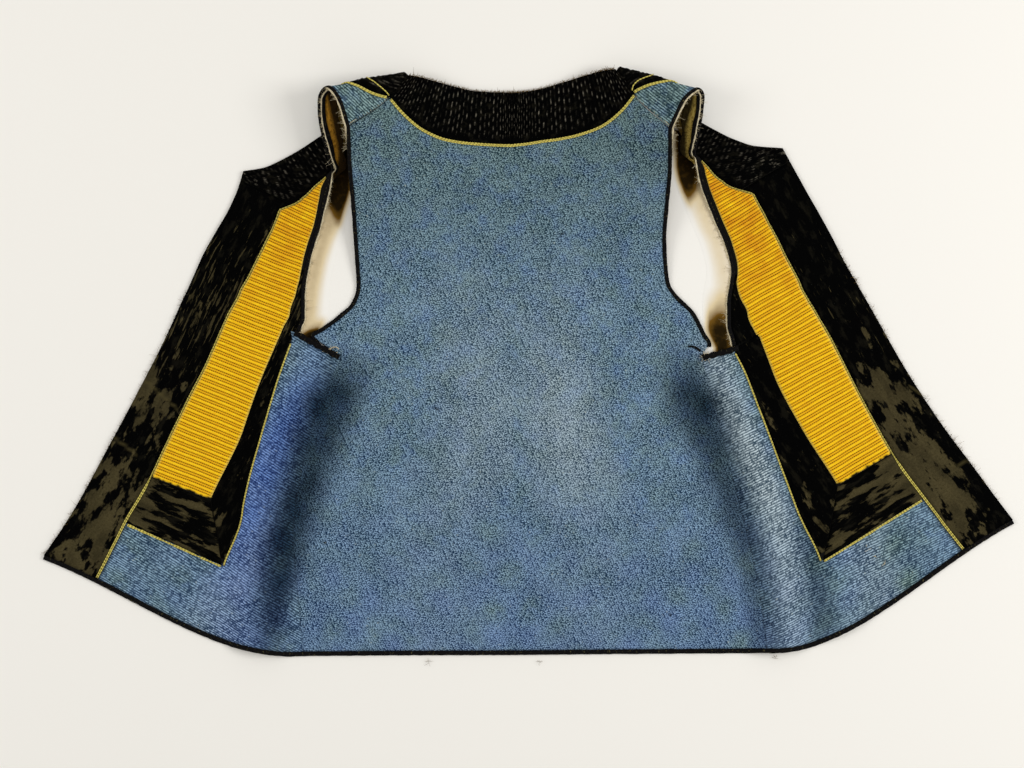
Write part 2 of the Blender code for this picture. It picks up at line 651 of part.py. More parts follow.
def swept(name, rings, slot, smooth=True):
    """A closed bar through a row of rings with the same number of points, its two ends capped."""
    rows, around = rings.shape[:2]
    index = np.arange(rows * around).reshape(rows, around)
    following = np.roll(index, -1, axis=1)
    a, b = index[:-1].ravel(), following[:-1].ravel()
    c, d = following[1:].ravel(), index[1:].ravel()
    faces = [np.stack([a, b, c], 1), np.stack([a, c, d], 1)]
    for ring, order in ((index[0], -1), (index[-1], 1)):
        fan = np.stack([np.full(around - 2, ring[0]), ring[1:-1], ring[2:]], 1)
        faces.append(fan[:, ::order])
    add_mesh(name, rings.reshape(-1, 3), np.concatenate(faces), slot, smooth)


def cord(name, path, up, radius, slot):
    """A round cord along a path."""
    forward = unit(np.gradient(path, axis=0))
    across = unit(np.cross(forward, up))
    lift = np.cross(across, forward)
    angle = (np.arange(CORD_SIDES) + 0.5) * 2 * np.pi / CORD_SIDES
    turn = across[:, None] * np.cos(angle)[:, None] + lift[:, None] * np.sin(angle)[:, None]
    swept(name, path[:, None] + radius * turn, slot)


def strip(name, path, normal, out, reach, lift, slot):
    """A flat bar along an edge, reaching from and to two distances outwards, between two heights."""
    corners = ((reach[0], lift[0]), (reach[1], lift[0]), (reach[1], lift[1]), (reach[0], lift[1]))
    swept(name, np.stack([path + out * b + normal * n for b, n in corners], axis=1), slot, False)


def spread(low, high, columns):
    """Marks between two lines of them, a row of marks for each section."""
    low, high, _ = np.broadcast_arrays(low, high, np.zeros(max(np.size(low), np.size(high))))
    return low[:, None] + (high - low)[:, None] * np.asarray(columns, float)[None]


def patch(name, grid, us, marks, lift, slot, smooth=True):
    """A wall on a front that covers some rows and marks, between two heights off its inner face."""
    points, normals = grid.at(np.repeat(us[:, None], marks.shape[1], 1), marks)
    bottom, top = (np.broadcast_to(np.asarray(part, float), marks.shape)[..., None] for part in lift)
    wall(name, world(grid.side, points + normals * top), world(grid.side, points + normals * bottom), slot, smooth)


def rows_between(grid, start, end):
    """Row numbers from start to end that take in every row of the cloth between."""
    between = grid.rows[(grid.rows > start + 0.01) & (grid.rows < end - 0.01)]
    return np.concatenate([[start], between, [end]])


def evenly(grid, start, end, mark, count):
    """Row numbers that part a line of the cloth into equal lengths."""
    fine = np.linspace(start, end, 2000)
    points, _ = grid.at(fine, mark)
    travelled = np.concatenate([[0], np.cumsum(np.linalg.norm(np.diff(points, axis=0), axis=1))])
    return np.interp(np.linspace(0, travelled[-1], count + 1), travelled, fine)


def length_of(grid, start, end, mark):
    points, _ = grid.at(np.linspace(start, end, 2000), mark)
    return np.linalg.norm(np.diff(points, axis=0), axis=1).sum()


def make_front(grid):
    marks = np.tile(grid.marks, (len(grid.rows), 1))
    patch(f"front_{grid.side}", grid, grid.rows, marks, (0.0, WOOL), "blue_wool")


def make_back(left, right):
    """The back, one wall from side seam to side seam."""
    heights = []
    for lift in (WOOL, 0.0):
        halves = [world(grid.side, grid.points + grid.normals * lift) for grid in (left, right)]
        heights.append(np.concatenate([halves[0], halves[1][:, -2::-1]], axis=1))
    wall("back", heights[0], heights[1], "blue_wool")


def back_place(grid, x, y):
    """Point and normal of half of the back at places on the table."""
    step = 0.5
    z = grid.height(x, y)
    right = shoulder_height(grid.side, x + step, y) - shoulder_height(grid.side, x - step, y)
    up = shoulder_height(grid.side, x, y + step) - shoulder_height(grid.side, x, y - step)
    normal = unit(np.stack([-right, -up, np.full(len(x), 2 * step)], axis=-1))
    return np.stack([x, y, z], axis=-1), normal


def neck_lines(side, knots):
    """The neckband's seam and edge on half of the back, where they really stand."""
    row = {name: curve(np.arange(7), np.array(NECK[side])[:, k], knots) for k, name in enumerate(NECK_COLUMNS.split())}
    lines = []
    for end in ("seam", "edge"):
        x, y = row[end + "_x"], row[end + "_y"]
        lines.append(seen_from_above(x, y, shoulder_height(side, x, y))[:, :2])
    return lines


def make_neckband_back(left, right):
    """The gathered band round the back of the neck, and the piping in its seam."""
    down = np.array([0.0, 0.14, 1.0])
    halves = []
    piping = []
    for grid in (left, right):
        knots = np.linspace(0, 6, GATHERS_BACK + 1)
        seam, edge = neck_lines(grid.side, knots)
        length = np.linalg.norm(edge - seam, axis=1)
        start = (CORD_RADIUS + GAP) / length
        t = start[:, None] + (1 - start - GAP / length)[:, None] * down[None]
        place = seam[:, None] + (edge - seam)[:, None] * t[..., None]
        place[0] -= SHOULDER_SHIFT
        points, normals = back_place(grid, place[..., 0].ravel(), place[..., 1].ravel())
        points, normals = (part.reshape(place.shape[:2] + (3,)) for part in (points, normals))
        raised = np.zeros(place.shape[:2])
        raised[1:-1:2, 1:] = GATHER_HEIGHT
        outer = points + normals * (OVER + VELVET + raised)[..., None]
        halves.append([world(grid.side, part) for part in (outer, points + normals * OVER)])
        seam, _ = neck_lines(grid.side, np.linspace(0.12, 6, 15))
        points, normals = back_place(grid, seam[:, 0], seam[:, 1])
        piping.append([world(grid.side, part) for part in (points + normals * (OVER + CORD_RADIUS), normals)])
    outer, inner = (np.concatenate([a, b[-2::-1]]) for a, b in zip(*halves))
    wall("neckband_back", outer, inner, "black_velvet", False)
    path, normals = (np.concatenate([a, b[-2::-1]]) for a, b in zip(*piping))
    cord("piping_back", path, normals, CORD_RADIUS, "yellow_braid")


def make_velvets(grid):
    """Velvet on a front: the band down its edge, the inner strip and the strip at the panel's foot."""
    side = grid.side
    lift = (OVER, OVER + VELVET)
    us = rows_between(grid, 0.0, BAND_TOP - SEAM_STEP)
    low = 3 + grid.mark_step(us, 3.1, BRAID_RADIUS + GAP)
    patch(f"band_{side}", grid, us, spread(low, 4.0, (0, 0.5, 1)), lift, "black_velvet")

    us = rows_between(grid, VELVET_FOOT + 0.14, STRIP_TOP)
    low = np.where(us > SLIT_TIP, grid.mark_step(us, 0.2, STRIP_INSET), 1.0 + grid.mark_step(us, 1.2, GAP))
    high = mitre_mark(us) - grid.mark_step(us, 1.8, 1.5 * GAP)
    patch(f"strip_{side}", grid, us, spread(low, high, FINE_COLUMNS), lift, "black_velvet")

    us = rows_between(grid, VELVET_FOOT + 0.05, PANEL_FOOT - 0.02)
    low = mitre_mark(us) + grid.mark_step(us, 1.8, GAP)
    high = 3 - grid.mark_step(us, 2.9, BRAID_RADIUS + GAP)
    patch(f"foot_{side}", grid, us, spread(low, high, FOOT_COLUMNS), lift, "black_velvet")


def mitre_mark(us):
    """Outer edge of the inner velvet strip: the panel's seam, and below its foot the mitre."""
    return np.interp(us, [VELVET_FOOT, PANEL_FOOT], [1.0, 2.0])


def make_neckband_front(grid):
    """The gathered band from the neck corner over the strap to the shoulder seam."""
    visible = evenly(grid, BAND_TOP + SEAM_STEP, FOLD_UNDER, 4.0, 2 * GATHERS_FRONT)
    us = np.concatenate([visible, grid.rows[grid.rows > FOLD_UNDER]])
    marks = np.tile([3.0, 3.2, 3.5, 4.0], (len(us), 1))
    marks[:, 0] += grid.mark_step(us, 3.1, CORD_RADIUS + GAP)
    marks[:, 1] = np.maximum(marks[:, 1], marks[:, 0] + 0.06)
    raised = np.zeros(marks.shape)
    raised[1 : 2 * GATHERS_FRONT : 2, 1:] = GATHER_HEIGHT
    patch(f"neckband_{grid.side}", grid, us, marks, (OVER, OVER + VELVET + raised), "black_velvet", False)


def make_panel(grid):
    """The yellow panel: cords laid side by side and couched down across it."""
    start = PANEL_FOOT + 0.02
    end = PANEL_TIP - 0.1
    ribs = int(round(length_of(grid, start, end, 2.5) / RIB_PITCH))
    us = evenly(grid, start, end, 2.5, 2 * ribs)
    low = 2 + grid.mark_step(us, 2.2, GAP)
    high = 3 - grid.mark_step(us, 2.8, BRAID_RADIUS + GAP)
    raised = RIB_HEIGHT * (np.arange(len(us)) % 2)[:, None]
    lift = (OVER, OVER + VELVET + raised)
    patch(f"panel_{grid.side}", grid, us, spread(low, high, (0, 0.33, 0.67, 1)), lift, "yellow_silk", False)


def front_cord(name, grid, us, marks, lift, radius):
    points, normals = grid.at(us, marks)
    cord(name, world(grid.side, points + normals * lift), world(grid.side, normals), radius, "yellow_braid")


def make_braids(grid):
    """Yellow braid along the velvet's edges, and the piping over the strap."""
    side = grid.side
    us = rows_between(grid, VELVET_FOOT + 0.03, SLIT_FOOT - 0.1)
    marks = 1 - grid.mark_step(us, 0.9, BRAID_RADIUS)
    front_cord(f"braid_inner_{side}", grid, us, marks, OVER + BRAID_RADIUS, BRAID_RADIUS)

    us = rows_between(grid, 0.0, PANEL_TIP - 0.05)
    front_cord(f"braid_outer_{side}", grid, us, np.full(len(us), 3.0), OVER + BRAID_RADIUS, BRAID_RADIUS)

    marks = np.array([1.05, 1.5, 2.0, 2.33, 2.67, 2.95])
    us = np.full(len(marks), VELVET_FOOT - 0.02)
    front_cord(f"braid_foot_{side}", grid, us, marks, OVER + BRAID_RADIUS, BRAID_RADIUS)

    us = rows_between(grid, FOLD_TOP - 1, SEAM_TOP - 0.3)
    front_cord(f"piping_{side}", grid, us, np.full(len(us), 3.0), OVER + CORD_RADIUS, CORD_RADIUS)

    us = us[2:]
    marks = 3 + np.interp(us, [FOLD_TOP, SEAM_TOP], BRAID_MARKS)
    lift = OVER + VELVET + 2 * GAP + BRAID_RADIUS
    front_cord(f"braid_yoke_{side}", grid, us, marks, lift, BRAID_RADIUS)


def make_edges(front, back):
    """Armhole binding with its cream interlining, the facing and lining inside the strap, and the slit's roll."""
    side = front.side
    start = front.rows[front.rows > SLIT_TIP + 0.1]
    down = back.rows[back.rows > SLIT_TIP + 0.1][::-1]
    edge = [world(side, np.concatenate(pair)) for pair in zip(front.edge(start), back.edge(down))]
    strip(f"binding_{side}", *edge, (GAP, GAP + BINDING_WIDE), (0.0, BINDING_THICK), "black_binding")
    shown = slice(1, len(start) + np.count_nonzero(down > CREAM_FOOT))
    strip(f"cream_{side}", *(part[shown] for part in edge), CREAM_REACH, CREAM_LIFT, "cream_linen")

    us = front.rows[(front.rows >= FOLD_UNDER) & (front.rows < SEAM_TOP - 0.4)]
    under = (-GAP - LINING, -GAP)
    step = front.mark_step(us, 0.9, GAP)
    patch(f"facing_{side}", front, us, spread(0.0, 1 - step, (0, 1)), under, "black_binding", False)
    patch(f"lining_{side}", front, us, np.tile(LINING_MARKS, (len(us), 1)), under, "tan_lining")

    tip = front_point(side, SLIT_TIP, 0.0)
    foot = front_point(side, SLIT_FOOT, 0.0)
    along = unit(foot - tip)
    length = np.linalg.norm(foot - tip)
    travel = np.linspace(3.0, length - 3.0, 6)[:, None]
    path = tip + along * travel + np.array([along[1], -along[0], 0.0]) * ROLL_RADIUS * np.sign(along[0]) * 1.2
    path[:, 2] = OVER + ROLL_RADIUS + ridge_height(side, path[:, 0], path[:, 1])
    up = np.tile([0.0, 0.0, 1.0], (len(path), 1))
    cord(f"roll_{side}", world(side, path), up, ROLL_RADIUS, "black_binding")


def make_hem(fronts, backs):
    """The binding that runs along the hem from one front edge to the other."""
    halves = []
    for front, back in zip(fronts, backs):
        parts = zip(front.hem(front.marks[::-1]), back.hem(back.marks))
        halves.append([world(front.side, np.concatenate(pair)) for pair in parts])
    path, normal, out = (np.concatenate([a, b[-2::-1]]) for a, b in zip(*halves))
    strip("hem_binding", path, normal, out, (GAP, GAP + HEM_WIDE), (0.0, BINDING_THICK), "black_binding")


def main():
    for old in list(bpy.data.objects):
        bpy.data.objects.remove(old, do_unlink=True)
    fronts = [Grid(front_point, side, FRONT_ROWS, FRONT_MARKS, lambda u, m, s=side: front_shares(s, u, m), 1.0)
              for side in ("left", "right")]
    backs = [Grid(back_point, side, BACK_ROWS, BACK_MARKS, lambda u, m, s=side: back_shares(s, u, m), -1.0)
             for side in ("left", "right")]
    make_back(*backs)
    make_neckband_back(*backs)
    make_hem(fronts, backs)
    for front, back in zip(fronts, backs):
        make_front(front)
        make_velvets(front)
        make_neckband_front(front)
        make_panel(front)
        make_braids(front)
        make_edges(front, back)


main()
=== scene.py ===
"""Looks of a sleeveless folk waistcoat of blue twill, laid open on a table with its outside up.

Each half is worked out in millimetres with x measured outwards from the middle of the back and y towards
the neck. A front is a surface of sections from the hem (0) to the shoulder seam (28), and the back one from
the hem (0) to its shoulder seam (13). What is sewn on a cloth is made from that cloth's surface, moved out.
"""

import json
from functools import partial

import bpy
import numpy as np
from bpy.props import FloatProperty, FloatVectorProperty, IntProperty, PointerProperty
from bpy.types import Operator, Panel, PropertyGroup
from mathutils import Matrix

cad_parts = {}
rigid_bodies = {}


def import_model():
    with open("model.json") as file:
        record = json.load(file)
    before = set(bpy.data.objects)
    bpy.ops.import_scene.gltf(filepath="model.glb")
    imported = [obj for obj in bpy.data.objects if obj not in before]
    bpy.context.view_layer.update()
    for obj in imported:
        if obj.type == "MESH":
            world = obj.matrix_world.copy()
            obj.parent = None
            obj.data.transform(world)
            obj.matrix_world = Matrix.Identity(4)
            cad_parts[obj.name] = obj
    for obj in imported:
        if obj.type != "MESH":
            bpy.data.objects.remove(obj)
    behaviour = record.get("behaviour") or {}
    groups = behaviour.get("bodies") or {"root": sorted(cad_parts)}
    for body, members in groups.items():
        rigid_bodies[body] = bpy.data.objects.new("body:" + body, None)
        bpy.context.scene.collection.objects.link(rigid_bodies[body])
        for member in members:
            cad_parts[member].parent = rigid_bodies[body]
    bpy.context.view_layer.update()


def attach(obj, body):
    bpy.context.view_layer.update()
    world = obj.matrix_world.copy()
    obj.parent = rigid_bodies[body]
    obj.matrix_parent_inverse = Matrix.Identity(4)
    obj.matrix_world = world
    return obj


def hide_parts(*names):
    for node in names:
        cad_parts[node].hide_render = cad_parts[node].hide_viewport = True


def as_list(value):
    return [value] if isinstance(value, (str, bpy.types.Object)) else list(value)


bl_info = {
    "name": "Folk waistcoat",
    "version": (1, 0, 0),
    "blender": (4, 5, 0),
    "location": "View3D > Sidebar > Waistcoat",
    "description": "Dresses a folk waistcoat of blue twill that lies open on a table",
    "category": "Object",
}

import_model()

# Half of the table's side, in metres
TABLE_HALF = 3.0

# Clearances and edges, in millimetres, the same as in the solids
GAP = 0.3
BINDING_WIDE = 2.6
HEM_WIDE = 3.2
EDGE_INSET = 0.6
LEAST_SPACING = 1.2
SEAM_OVERLAP = 0.05
SEWN_CLEAR = 0.1
TABLE_CLEAR = 0.02
TURNED_EDGE = 1.4
PANEL_GROUND = 0.6
# Width of the sheet that carries the painted shadow inside each armhole
SHADOW_SHEET_WIDE = 22.0
VIEW_HEIGHT = 1600.0
MIDDLE = (13.34, 17.22, 0.0)
UPWARDS = np.array([0.0, 0.0, 1.0])

# How much longer a gathered cloth was before it was gathered, and how worn its pile is
FULLNESS = 1.25
GATHERED_WEAR = -0.3

# The photograph's middle and width in pixels, and the millimetres that one pixel shows
PICTURE_MIDDLE = (512, 384)
PICTURE_WIDTH = 1024
PIXEL = 0.8

# Pixels where the thread loop and the loose end of tape lie at the side slits
LOOP_PIXEL = (335, 350)
END_PIXEL = (700, 351)

# Sections of a front, hem first: side or armhole edge, and front or neck edge
SECTION_COLUMNS = "side_x side_y edge_x edge_y bow_x bow_y peak"
SECTIONS = {
    "left": (
        (167.2, -217.6, 376, -140), (171.2, -172.8, 347.2, -94.4), (175.2, -117.6, 328, -59.2),
        (165.6, -56.8, 297.6, -2.4), (153.6, -16.8, 279.2, 33.6), (136.8, 21.6, 263.2, 68.8),
        (172, 40.8, 260, 75.2), (165.6, 52.8, 254.4, 88), (165.6, 71.2, 247.2, 104),
        (162.4, 93.6, 236.4, 123.2), (158.4, 109.6, 228, 137.6), (153.6, 124, 220, 155.2),
        (149.6, 140.8, 215.2, 170.4), (146.4, 152.8, 200, 172.8), (144.8, 162.4, 176, 184),
        (145.6, 169.6, 153.6, 198.4), (146.8, 174.4, 133.6, 212), (148, 179.2, 113.6, 226.4),
        (149.6, 187.2, 97.6, 236.8), (152, 196.8, 89.6, 242), (154.4, 209.6, 86.4, 244),
        (155.2, 219.2, 85.2, 245.2), (155.2, 227.2, 84.4, 246), (152.8, 233.6, 84, 246.4),
        (148.4, 236.4, 83.6, 246.7), (143.6, 232.8, 83.4, 246.9), (139.2, 224.8, 83.2, 247),
        (136, 215.2, 83, 247.1), (132.8, 204.8, 82.8, 247.2),
    ),
    "right": (
        (204, -215.2, 402.4, -111.2), (199.2, -172.8, 369.6, -66.4), (188.8, -123.2, 344, -32),
        (175.2, -70.4, 315.2, 12), (161.6, -14.4, 292, 52.8), (151.2, 21.6, 276, 80.8),
        (179.2, 28.8, 272.8, 86.4), (172, 46.4, 265.6, 99.2), (172, 64.8, 258.4, 113.6),
        (175.2, 89.6, 248, 132.8), (171.2, 108.8, 238.4, 149.6), (163.2, 128, 228, 168.4),
        (152.8, 153.6, 216.8, 188.8), (148.8, 168, 195.2, 190.4), (148, 175.2, 177.6, 196),
        (148.4, 181.6, 158.4, 205.6), (149.2, 187.2, 133.6, 220), (149.6, 192.8, 113.6, 232.8),
        (150.4, 199.2, 97.6, 242.4), (151.2, 206.4, 89.6, 247.2), (152.4, 214.4, 86.4, 248.8),
        (153.2, 221.6, 85.2, 249.6), (153.6, 228, 84.4, 250.4), (153.2, 231.6, 84, 250.8),
        (150, 234.8, 83.6, 251), (144.8, 232, 83.4, 251.2), (139.2, 226.4, 83.3, 251.4),
        (133.6, 215.2, 83.2, 251.6), (128, 203.2, 83.2, 252),
    ),
}

# How far a section bows in x and y and the share where it bows most, where that isn't 0, 0 and 0.33
STRAP_BOWS = (
    (14, -3, 0, 0.33), (15, -10, 0, 0.33), (16, -8, 0, 0.33), (17, -6, 0, 0.33), (18, -4, 0, 0.33),
    (19, -2, 0, 0.33), (23, 0, 0, 0.4), (24, 0, 0, 0.5), (25, 0, -0.5, 0.6), (26, 0, -1.5, 0.6),
    (27, 0, -3, 0.6), (28, 0, -5, 0.6),
)
BOWS = {
    "left": ((0, 0, -14, 0.33), *STRAP_BOWS),
    "right": ((0, 0, -17, 0.33), (5, 0, -7, 0.25), *STRAP_BOWS),
}

# Heights of the same sections at the armhole edge and at the neck edge, and the power of the fall between
LIFTS = (
    (10, 0, 0, 2), (11, 0.5, 0, 2), (12, 2, 0, 2), (13, 5, 0, 2), (14, 9, 0, 2), (15, 12, 0, 2),
    (16, 15, 0, 2), (17, 17, 0.5, 2), (18, 19, 2, 1.8), (19, 20, 4, 1.5), (20, 21, 6, 1.3),
    (21, 22, 7, 1.2), (22, 24, 7.8, 1.2), (23, 27.5, 8.4, 1.25), (24, 31.5, 9, 1.3), (25, 34.5, 9.3, 1.4),
    (26, 36, 9.6, 1.45), (27, 36.5, 9.8, 1.45), (28, 36.5, 9.9, 1.45),
)

# Where the inner line and the panel's inner and outer edges cross each section, as shares of its length
SEAMS = {
    "left": (
        (0.364, 0.55, 0.797), (0.341, 0.49, 0.786), (0.262, 0.429, 0.743), (0.267, 0.37, 0.727),
        (0.287, 0.376, 0.713), (0.31, 0.38, 0.715), (0.06, 0.12, 0.59), (0.05, 0.13, 0.585),
        (0.04, 0.08, 0.534), (0.04, 0.052, 0.5), (0.04, 0.054, 0.483), (0.04, 0.066, 0.446),
        (0.04, 0.078, 0.305), (0.06, 0.11, 0.25), (0.08, 0.14, 0.18),
    ),
    "right": (
        (0.286, 0.5, 0.802), (0.286, 0.48, 0.765), (0.255, 0.459, 0.742), (0.246, 0.406, 0.737),
        (0.221, 0.356, 0.724), (0.212, 0.372, 0.712), (0.06, 0.171, 0.628), (0.05, 0.171, 0.624),
        (0.04, 0.11, 0.593), (0.036, 0.048, 0.53), (0.036, 0.048, 0.5), (0.036, 0.05, 0.475),
        (0.04, 0.056, 0.29), (0.06, 0.09, 0.19), (0.08, 0.11, 0.15),
    ),
}

# Past the panel's tip the third seam is the neckband's: section and share
YOKE = {
    "left": (
        (14, 0.16), (18, 0.2), (22, 0.22), (24, 0.26), (25, 0.33), (26, 0.43), (27, 0.56), (28, 0.68),
    ),
    "right": (
        (14, 0.16), (18, 0.2), (22, 0.25), (24, 0.355), (25, 0.43), (26, 0.53), (27, 0.63), (28, 0.69),
    ),
}

# The thin cord over the neckband's foot there: section and share of the neckband
YOKE_CORD = ((24, 0.33), (25, 0.31), (26, 0.286), (27, 0.2), (28, 0.02))

# The panel's outer edge from its sharp upper corner (second row) to its tip: section and share
PANEL_TOPS = {
    "left": ((10, 0.483), (11, 0.485), (12, 0.27), (13, 0.22), (14, 0.16)),
    "right": ((10, 0.5), (11.2, 0.488), (12, 0.24), (13, 0.18), (14, 0.16)),
}

# Sections that carry a named line
VELVET_FOOT = 1
PANEL_FOOT = 2
SLIT_FOOT = 5
SLIT_TIP = 6
STRIP_TOP = 8.8
BAND_TOP = 11.5
CREAM_FOOT = 12.3
NECK_CORNER = 12
PANEL_TIP = 14
FOLD_UNDER = 15
FOLD_TOP = 24
SEAM_TOP = 28
BACK_TOP = 13
NECK_SHARE = 0.4

# Back sections: side or armhole edge, neck line, and height on the line down the middle of the back
BACK_COLUMNS = "side_x side_y neck_x neck_y middle_y"
BACK = {
    "left": (
        (167.2, -217.6, 83, -217, -216.8), (171.2, -172.8, 83, -171.5, -171.2),
        (175.2, -117.6, 83, -117, -116.8), (165.6, -56.8, 84, -56.8, -56.8), (153.6, -16.8, 84, -17, -17),
        (136.8, 21.6, 84, 18, 16), (160.8, 38.4, 84, 30, 26), (140, 53.6, 84, 44, 40),
        (128.8, 64.8, 84, 58, 54), (124.8, 79.2, 85, 76, 72), (127.2, 115.2, 86, 116, 108),
        (129.6, 147.2, 87, 158, 146), (132, 176.8, 86, 204, 188), (132.8, 204.8, 82.8, 247.2, 233.2),
    ),
    "right": (
        (204, -215.2, 83, -216, -216.8), (199.2, -172.8, 83, -171.5, -171.2),
        (188.8, -123.2, 83, -119, -116.8), (175.2, -70.4, 84, -60, -56.8), (161.6, -14.4, 84, -16, -17),
        (151.2, 21.6, 84, 18, 16), (158.4, 32.8, 84, 30, 26), (146.4, 56.8, 84, 44, 40),
        (133.6, 69.6, 84, 58, 54), (126.4, 81.6, 85, 76, 72), (124, 115.2, 86, 116, 108),
        (126.4, 147.2, 87, 158, 146), (128, 171.2, 86, 206, 188), (128, 203.2, 83.2, 252, 233.2),
    ),
}

# Rise of the back's armhole edge: y, x of that edge, height, and how far in it fades
EDGE_LIFT = {
    "left": (
        (79, 124.8, 0), (115, 127.2, 5), (147, 129.6, 14), (177, 132, 27), (205, 133.5, 36.5),
        (236, 140, 36.5), (260, 140, 36.5),
    ),
    "right": (
        (79, 126.4, 0), (115, 124, 5), (147, 126.4, 14), (177, 128, 27), (205, 129, 36.5),
        (236, 140, 36.5), (260, 140, 36.5),
    ),
}
LIFT_REACH = 120.0

# Soft bands that run down a side, each row: y, centre x, amount and half width. The ridges are heights.
RIDGES = {
    "left": (
        (
            (-240, 204, 7.5, 27), (-193, 203.2, 8, 27), (-141, 200, 9, 28), (-53, 177.6, 7.5, 32),
            (3, 152, 4, 34), (40, 146, 0, 34),
        ),
    ),
    "right": (
        (
            (-240, 214, 7.5, 26), (-165, 208.4, 8, 26), (-125, 200.8, 8.5, 27), (-70, 183.2, 7.5, 30),
            (-1, 157, 4, 32), (35, 150, 0, 32),
        ),
        ((-240, 272, 3.4, 28), (-165, 262, 3.4, 28), (-125, 252, 2.2, 26), (-70, 240, 0, 24)),
    ),
}

# Painted shade on the inner slopes of the ridges, together with the dye and nap that stay darker there
SHADE_AND_DYE = {
    "left": (
        (
            (-230, 193, 0.4, 20), (-190, 192, 0.72, 24), (-141, 184, 1.05, 30), (-77, 167, 0.92, 38),
            (-13, 145, 1, 42), (12, 136, 0.6, 36), (34, 132, 0, 30),
        ),
    ),
    "right": (
        (
            (-230, 206, 0.25, 18), (-180, 201, 0.5, 22), (-125, 187, 0.66, 27), (-66, 168, 0.76, 32),
            (-13, 147, 0.95, 40), (16, 140, 0.45, 34), (40, 138, 0, 28),
        ),
        ((-230, 250, 0.3, 18), (-172, 246, 0.45, 18), (-132, 239, 0.4, 16), (-80, 222, 0, 12)),
    ),
}

# Where the front's outer slope keeps its full royal blue
ROYAL = {
    "left": (
        (
            (-220, 222, 0.35, 36), (-172, 216, 0.6, 38), (-108, 207, 1, 34), (-52, 189, 1, 32),
            (-10, 170, 0.8, 30), (14, 160, 0.35, 28), (40, 158, 0.2, 30),
        ),
    ),
    "right": (((-220, 230, 0.1, 24), (60, 170, 0, 20)),),
}

# Where it has gone green
GREEN = {
    "left": (((-220, 300, 0.5, 70), (-120, 290, 0.4, 60)),),
    "right": (
        (
            (-230, 262, 0.7, 30), (-172, 250, 0.8, 26), (-132, 241, 0.6, 22), (-60, 222, 0.5, 18),
            (20, 180, 0.2, 18),
        ),
        ((-200, 320, 0.7, 60), (-130, 310, 0.7, 50), (-80, 300, 0.5, 40)),
    ),
}

# Where it is rubbed pale; the first band of each side also paints light on the outer slope of its ridge
PALE_AND_LIT = {
    "left": (
        ((-215, 250, 0.35, 60), (-150, 215, 0.25, 40), (-60, 180, 0, 30)),
        ((-120, 60, 0.1, 60), (-40, 20, 0.4, 64), (60, 30, 0.2, 60), (120, 40, 0, 50)),
    ),
    "right": (
        (
            (-225, 226, 0.3, 26), (-133, 216, 0.7, 24), (-74, 197, 1, 24), (14, 164, 0.8, 20),
            (40, 158, 0.3, 18),
        ),
        ((-200, 300, 0.35, 50), (-120, 280, 0.3, 30)),
        ((-120, 60, 0.1, 60), (-40, 42, 0.6, 56), (60, 30, 0.2, 56), (120, 40, 0, 50)),
    ),
}

# Creases: height, half width and the line that each follows, in half coordinates
CREASES = {
    "left": (
        (0.9, 16, ((30, -60), (22, -120), (26, -216))),
        (0.7, 14, ((96, -110), (104, -170), (100, -216))),
        (0.8, 12, ((112, 40), (84, 8), (66, -30))),
        (0.6, 18, ((60, 150), (52, 90), (58, 20))),
        (-0.45, 3, ((140, 14), (126, -4), (104, -18))),
        (0.9, 9, ((262, -176), (250, -140), (240, -110))),
        (0.8, 10, ((318, -158), (306, -128), (296, -112))),
        (-0.6, 2.5, ((297, 6), (282, -6), (266, -20))),
        (0.7, 5, ((330, -62), (296, -24), (270, 22))),
        (0.6, 4, ((352, -110), (330, -84), (306, -60))),
        (0.6, 4, ((246, 92), (232, 112), (222, 140))),
        (-0.5, 2.2, ((212, -118), (236, -108), (272, -94))),
    ),
    "right": (
        (-0.5, 3, ((29.6, 190), (29, 176), (31, 160))),
        (0.9, 15, ((44, -90), (52, -150), (48, -216))),
        (0.7, 13, ((120, -80), (130, -150), (126, -214))),
        (0.7, 12, ((116, 46), (90, 16), (70, -26))),
        (0.5, 18, ((66, 140), (58, 80), (64, 10))),
        (-0.45, 3, ((148, 10), (132, -8), (112, -26))),
        (0.9, 9, ((300, -160), (292, -130), (284, -104))),
        (0.8, 10, ((350, -134), (334, -104), (326, -88))),
        (0.7, 5, ((350, -58), (316, -6), (290, 40))),
        (0.6, 4, ((378, -96), (352, -60), (330, -28))),
        (0.6, 4, ((262, 104), (246, 130), (236, 152))),
        (-0.5, 2.2, ((262, -112), (286, -98), (316, -84))),
    ),
}

# The back neckband from the shoulder seam to the middle: seam x and y, neck edge x and y
NECK = {
    "left": (
        (99.2, 228.8, 82.8, 247.2), (88, 216, 74, 245.6), (73.6, 204, 62, 242.4), (53.6, 195.2, 46, 238),
        (32.8, 192, 29, 234.4), (11.2, 190.6, 10, 233.4), (0, 190.4, 0, 233.2),
    ),
    "right": (
        (100, 232, 83.2, 252), (87.2, 216.8, 75, 251.2), (70.4, 204.8, 60, 247.2),
        (44.8, 196.8, 41, 241.4), (24, 193.6, 22, 236), (9, 191.4, 8.5, 233.8), (0, 190.4, 0, 233.2),
    ),
}


def linear(text):
    """Linear colour of an sRGB hex code."""
    parts = [int(text[i : i + 2], 16) / 255 for i in (1, 3, 5)]
    return tuple(p / 12.92 if p <= 0.04045 else ((p + 0.055) / 1.055) ** 2.4 for p in parts) + (1.0,)


def length(name, description, millimetres):
    """A length that a user sets, given in millimetres and kept in metres."""
    metres = millimetres / 1000
    return FloatProperty(name=name, description=description, default=metres, unit="LENGTH", min=0.0)


def shade(name, description, text):
    """A colour that a user sets, given as an sRGB hex code."""
    return FloatVectorProperty(
        name=name, description=description, default=linear(text), subtype="COLOR", size=4, min=0.0, max=1.0
    )


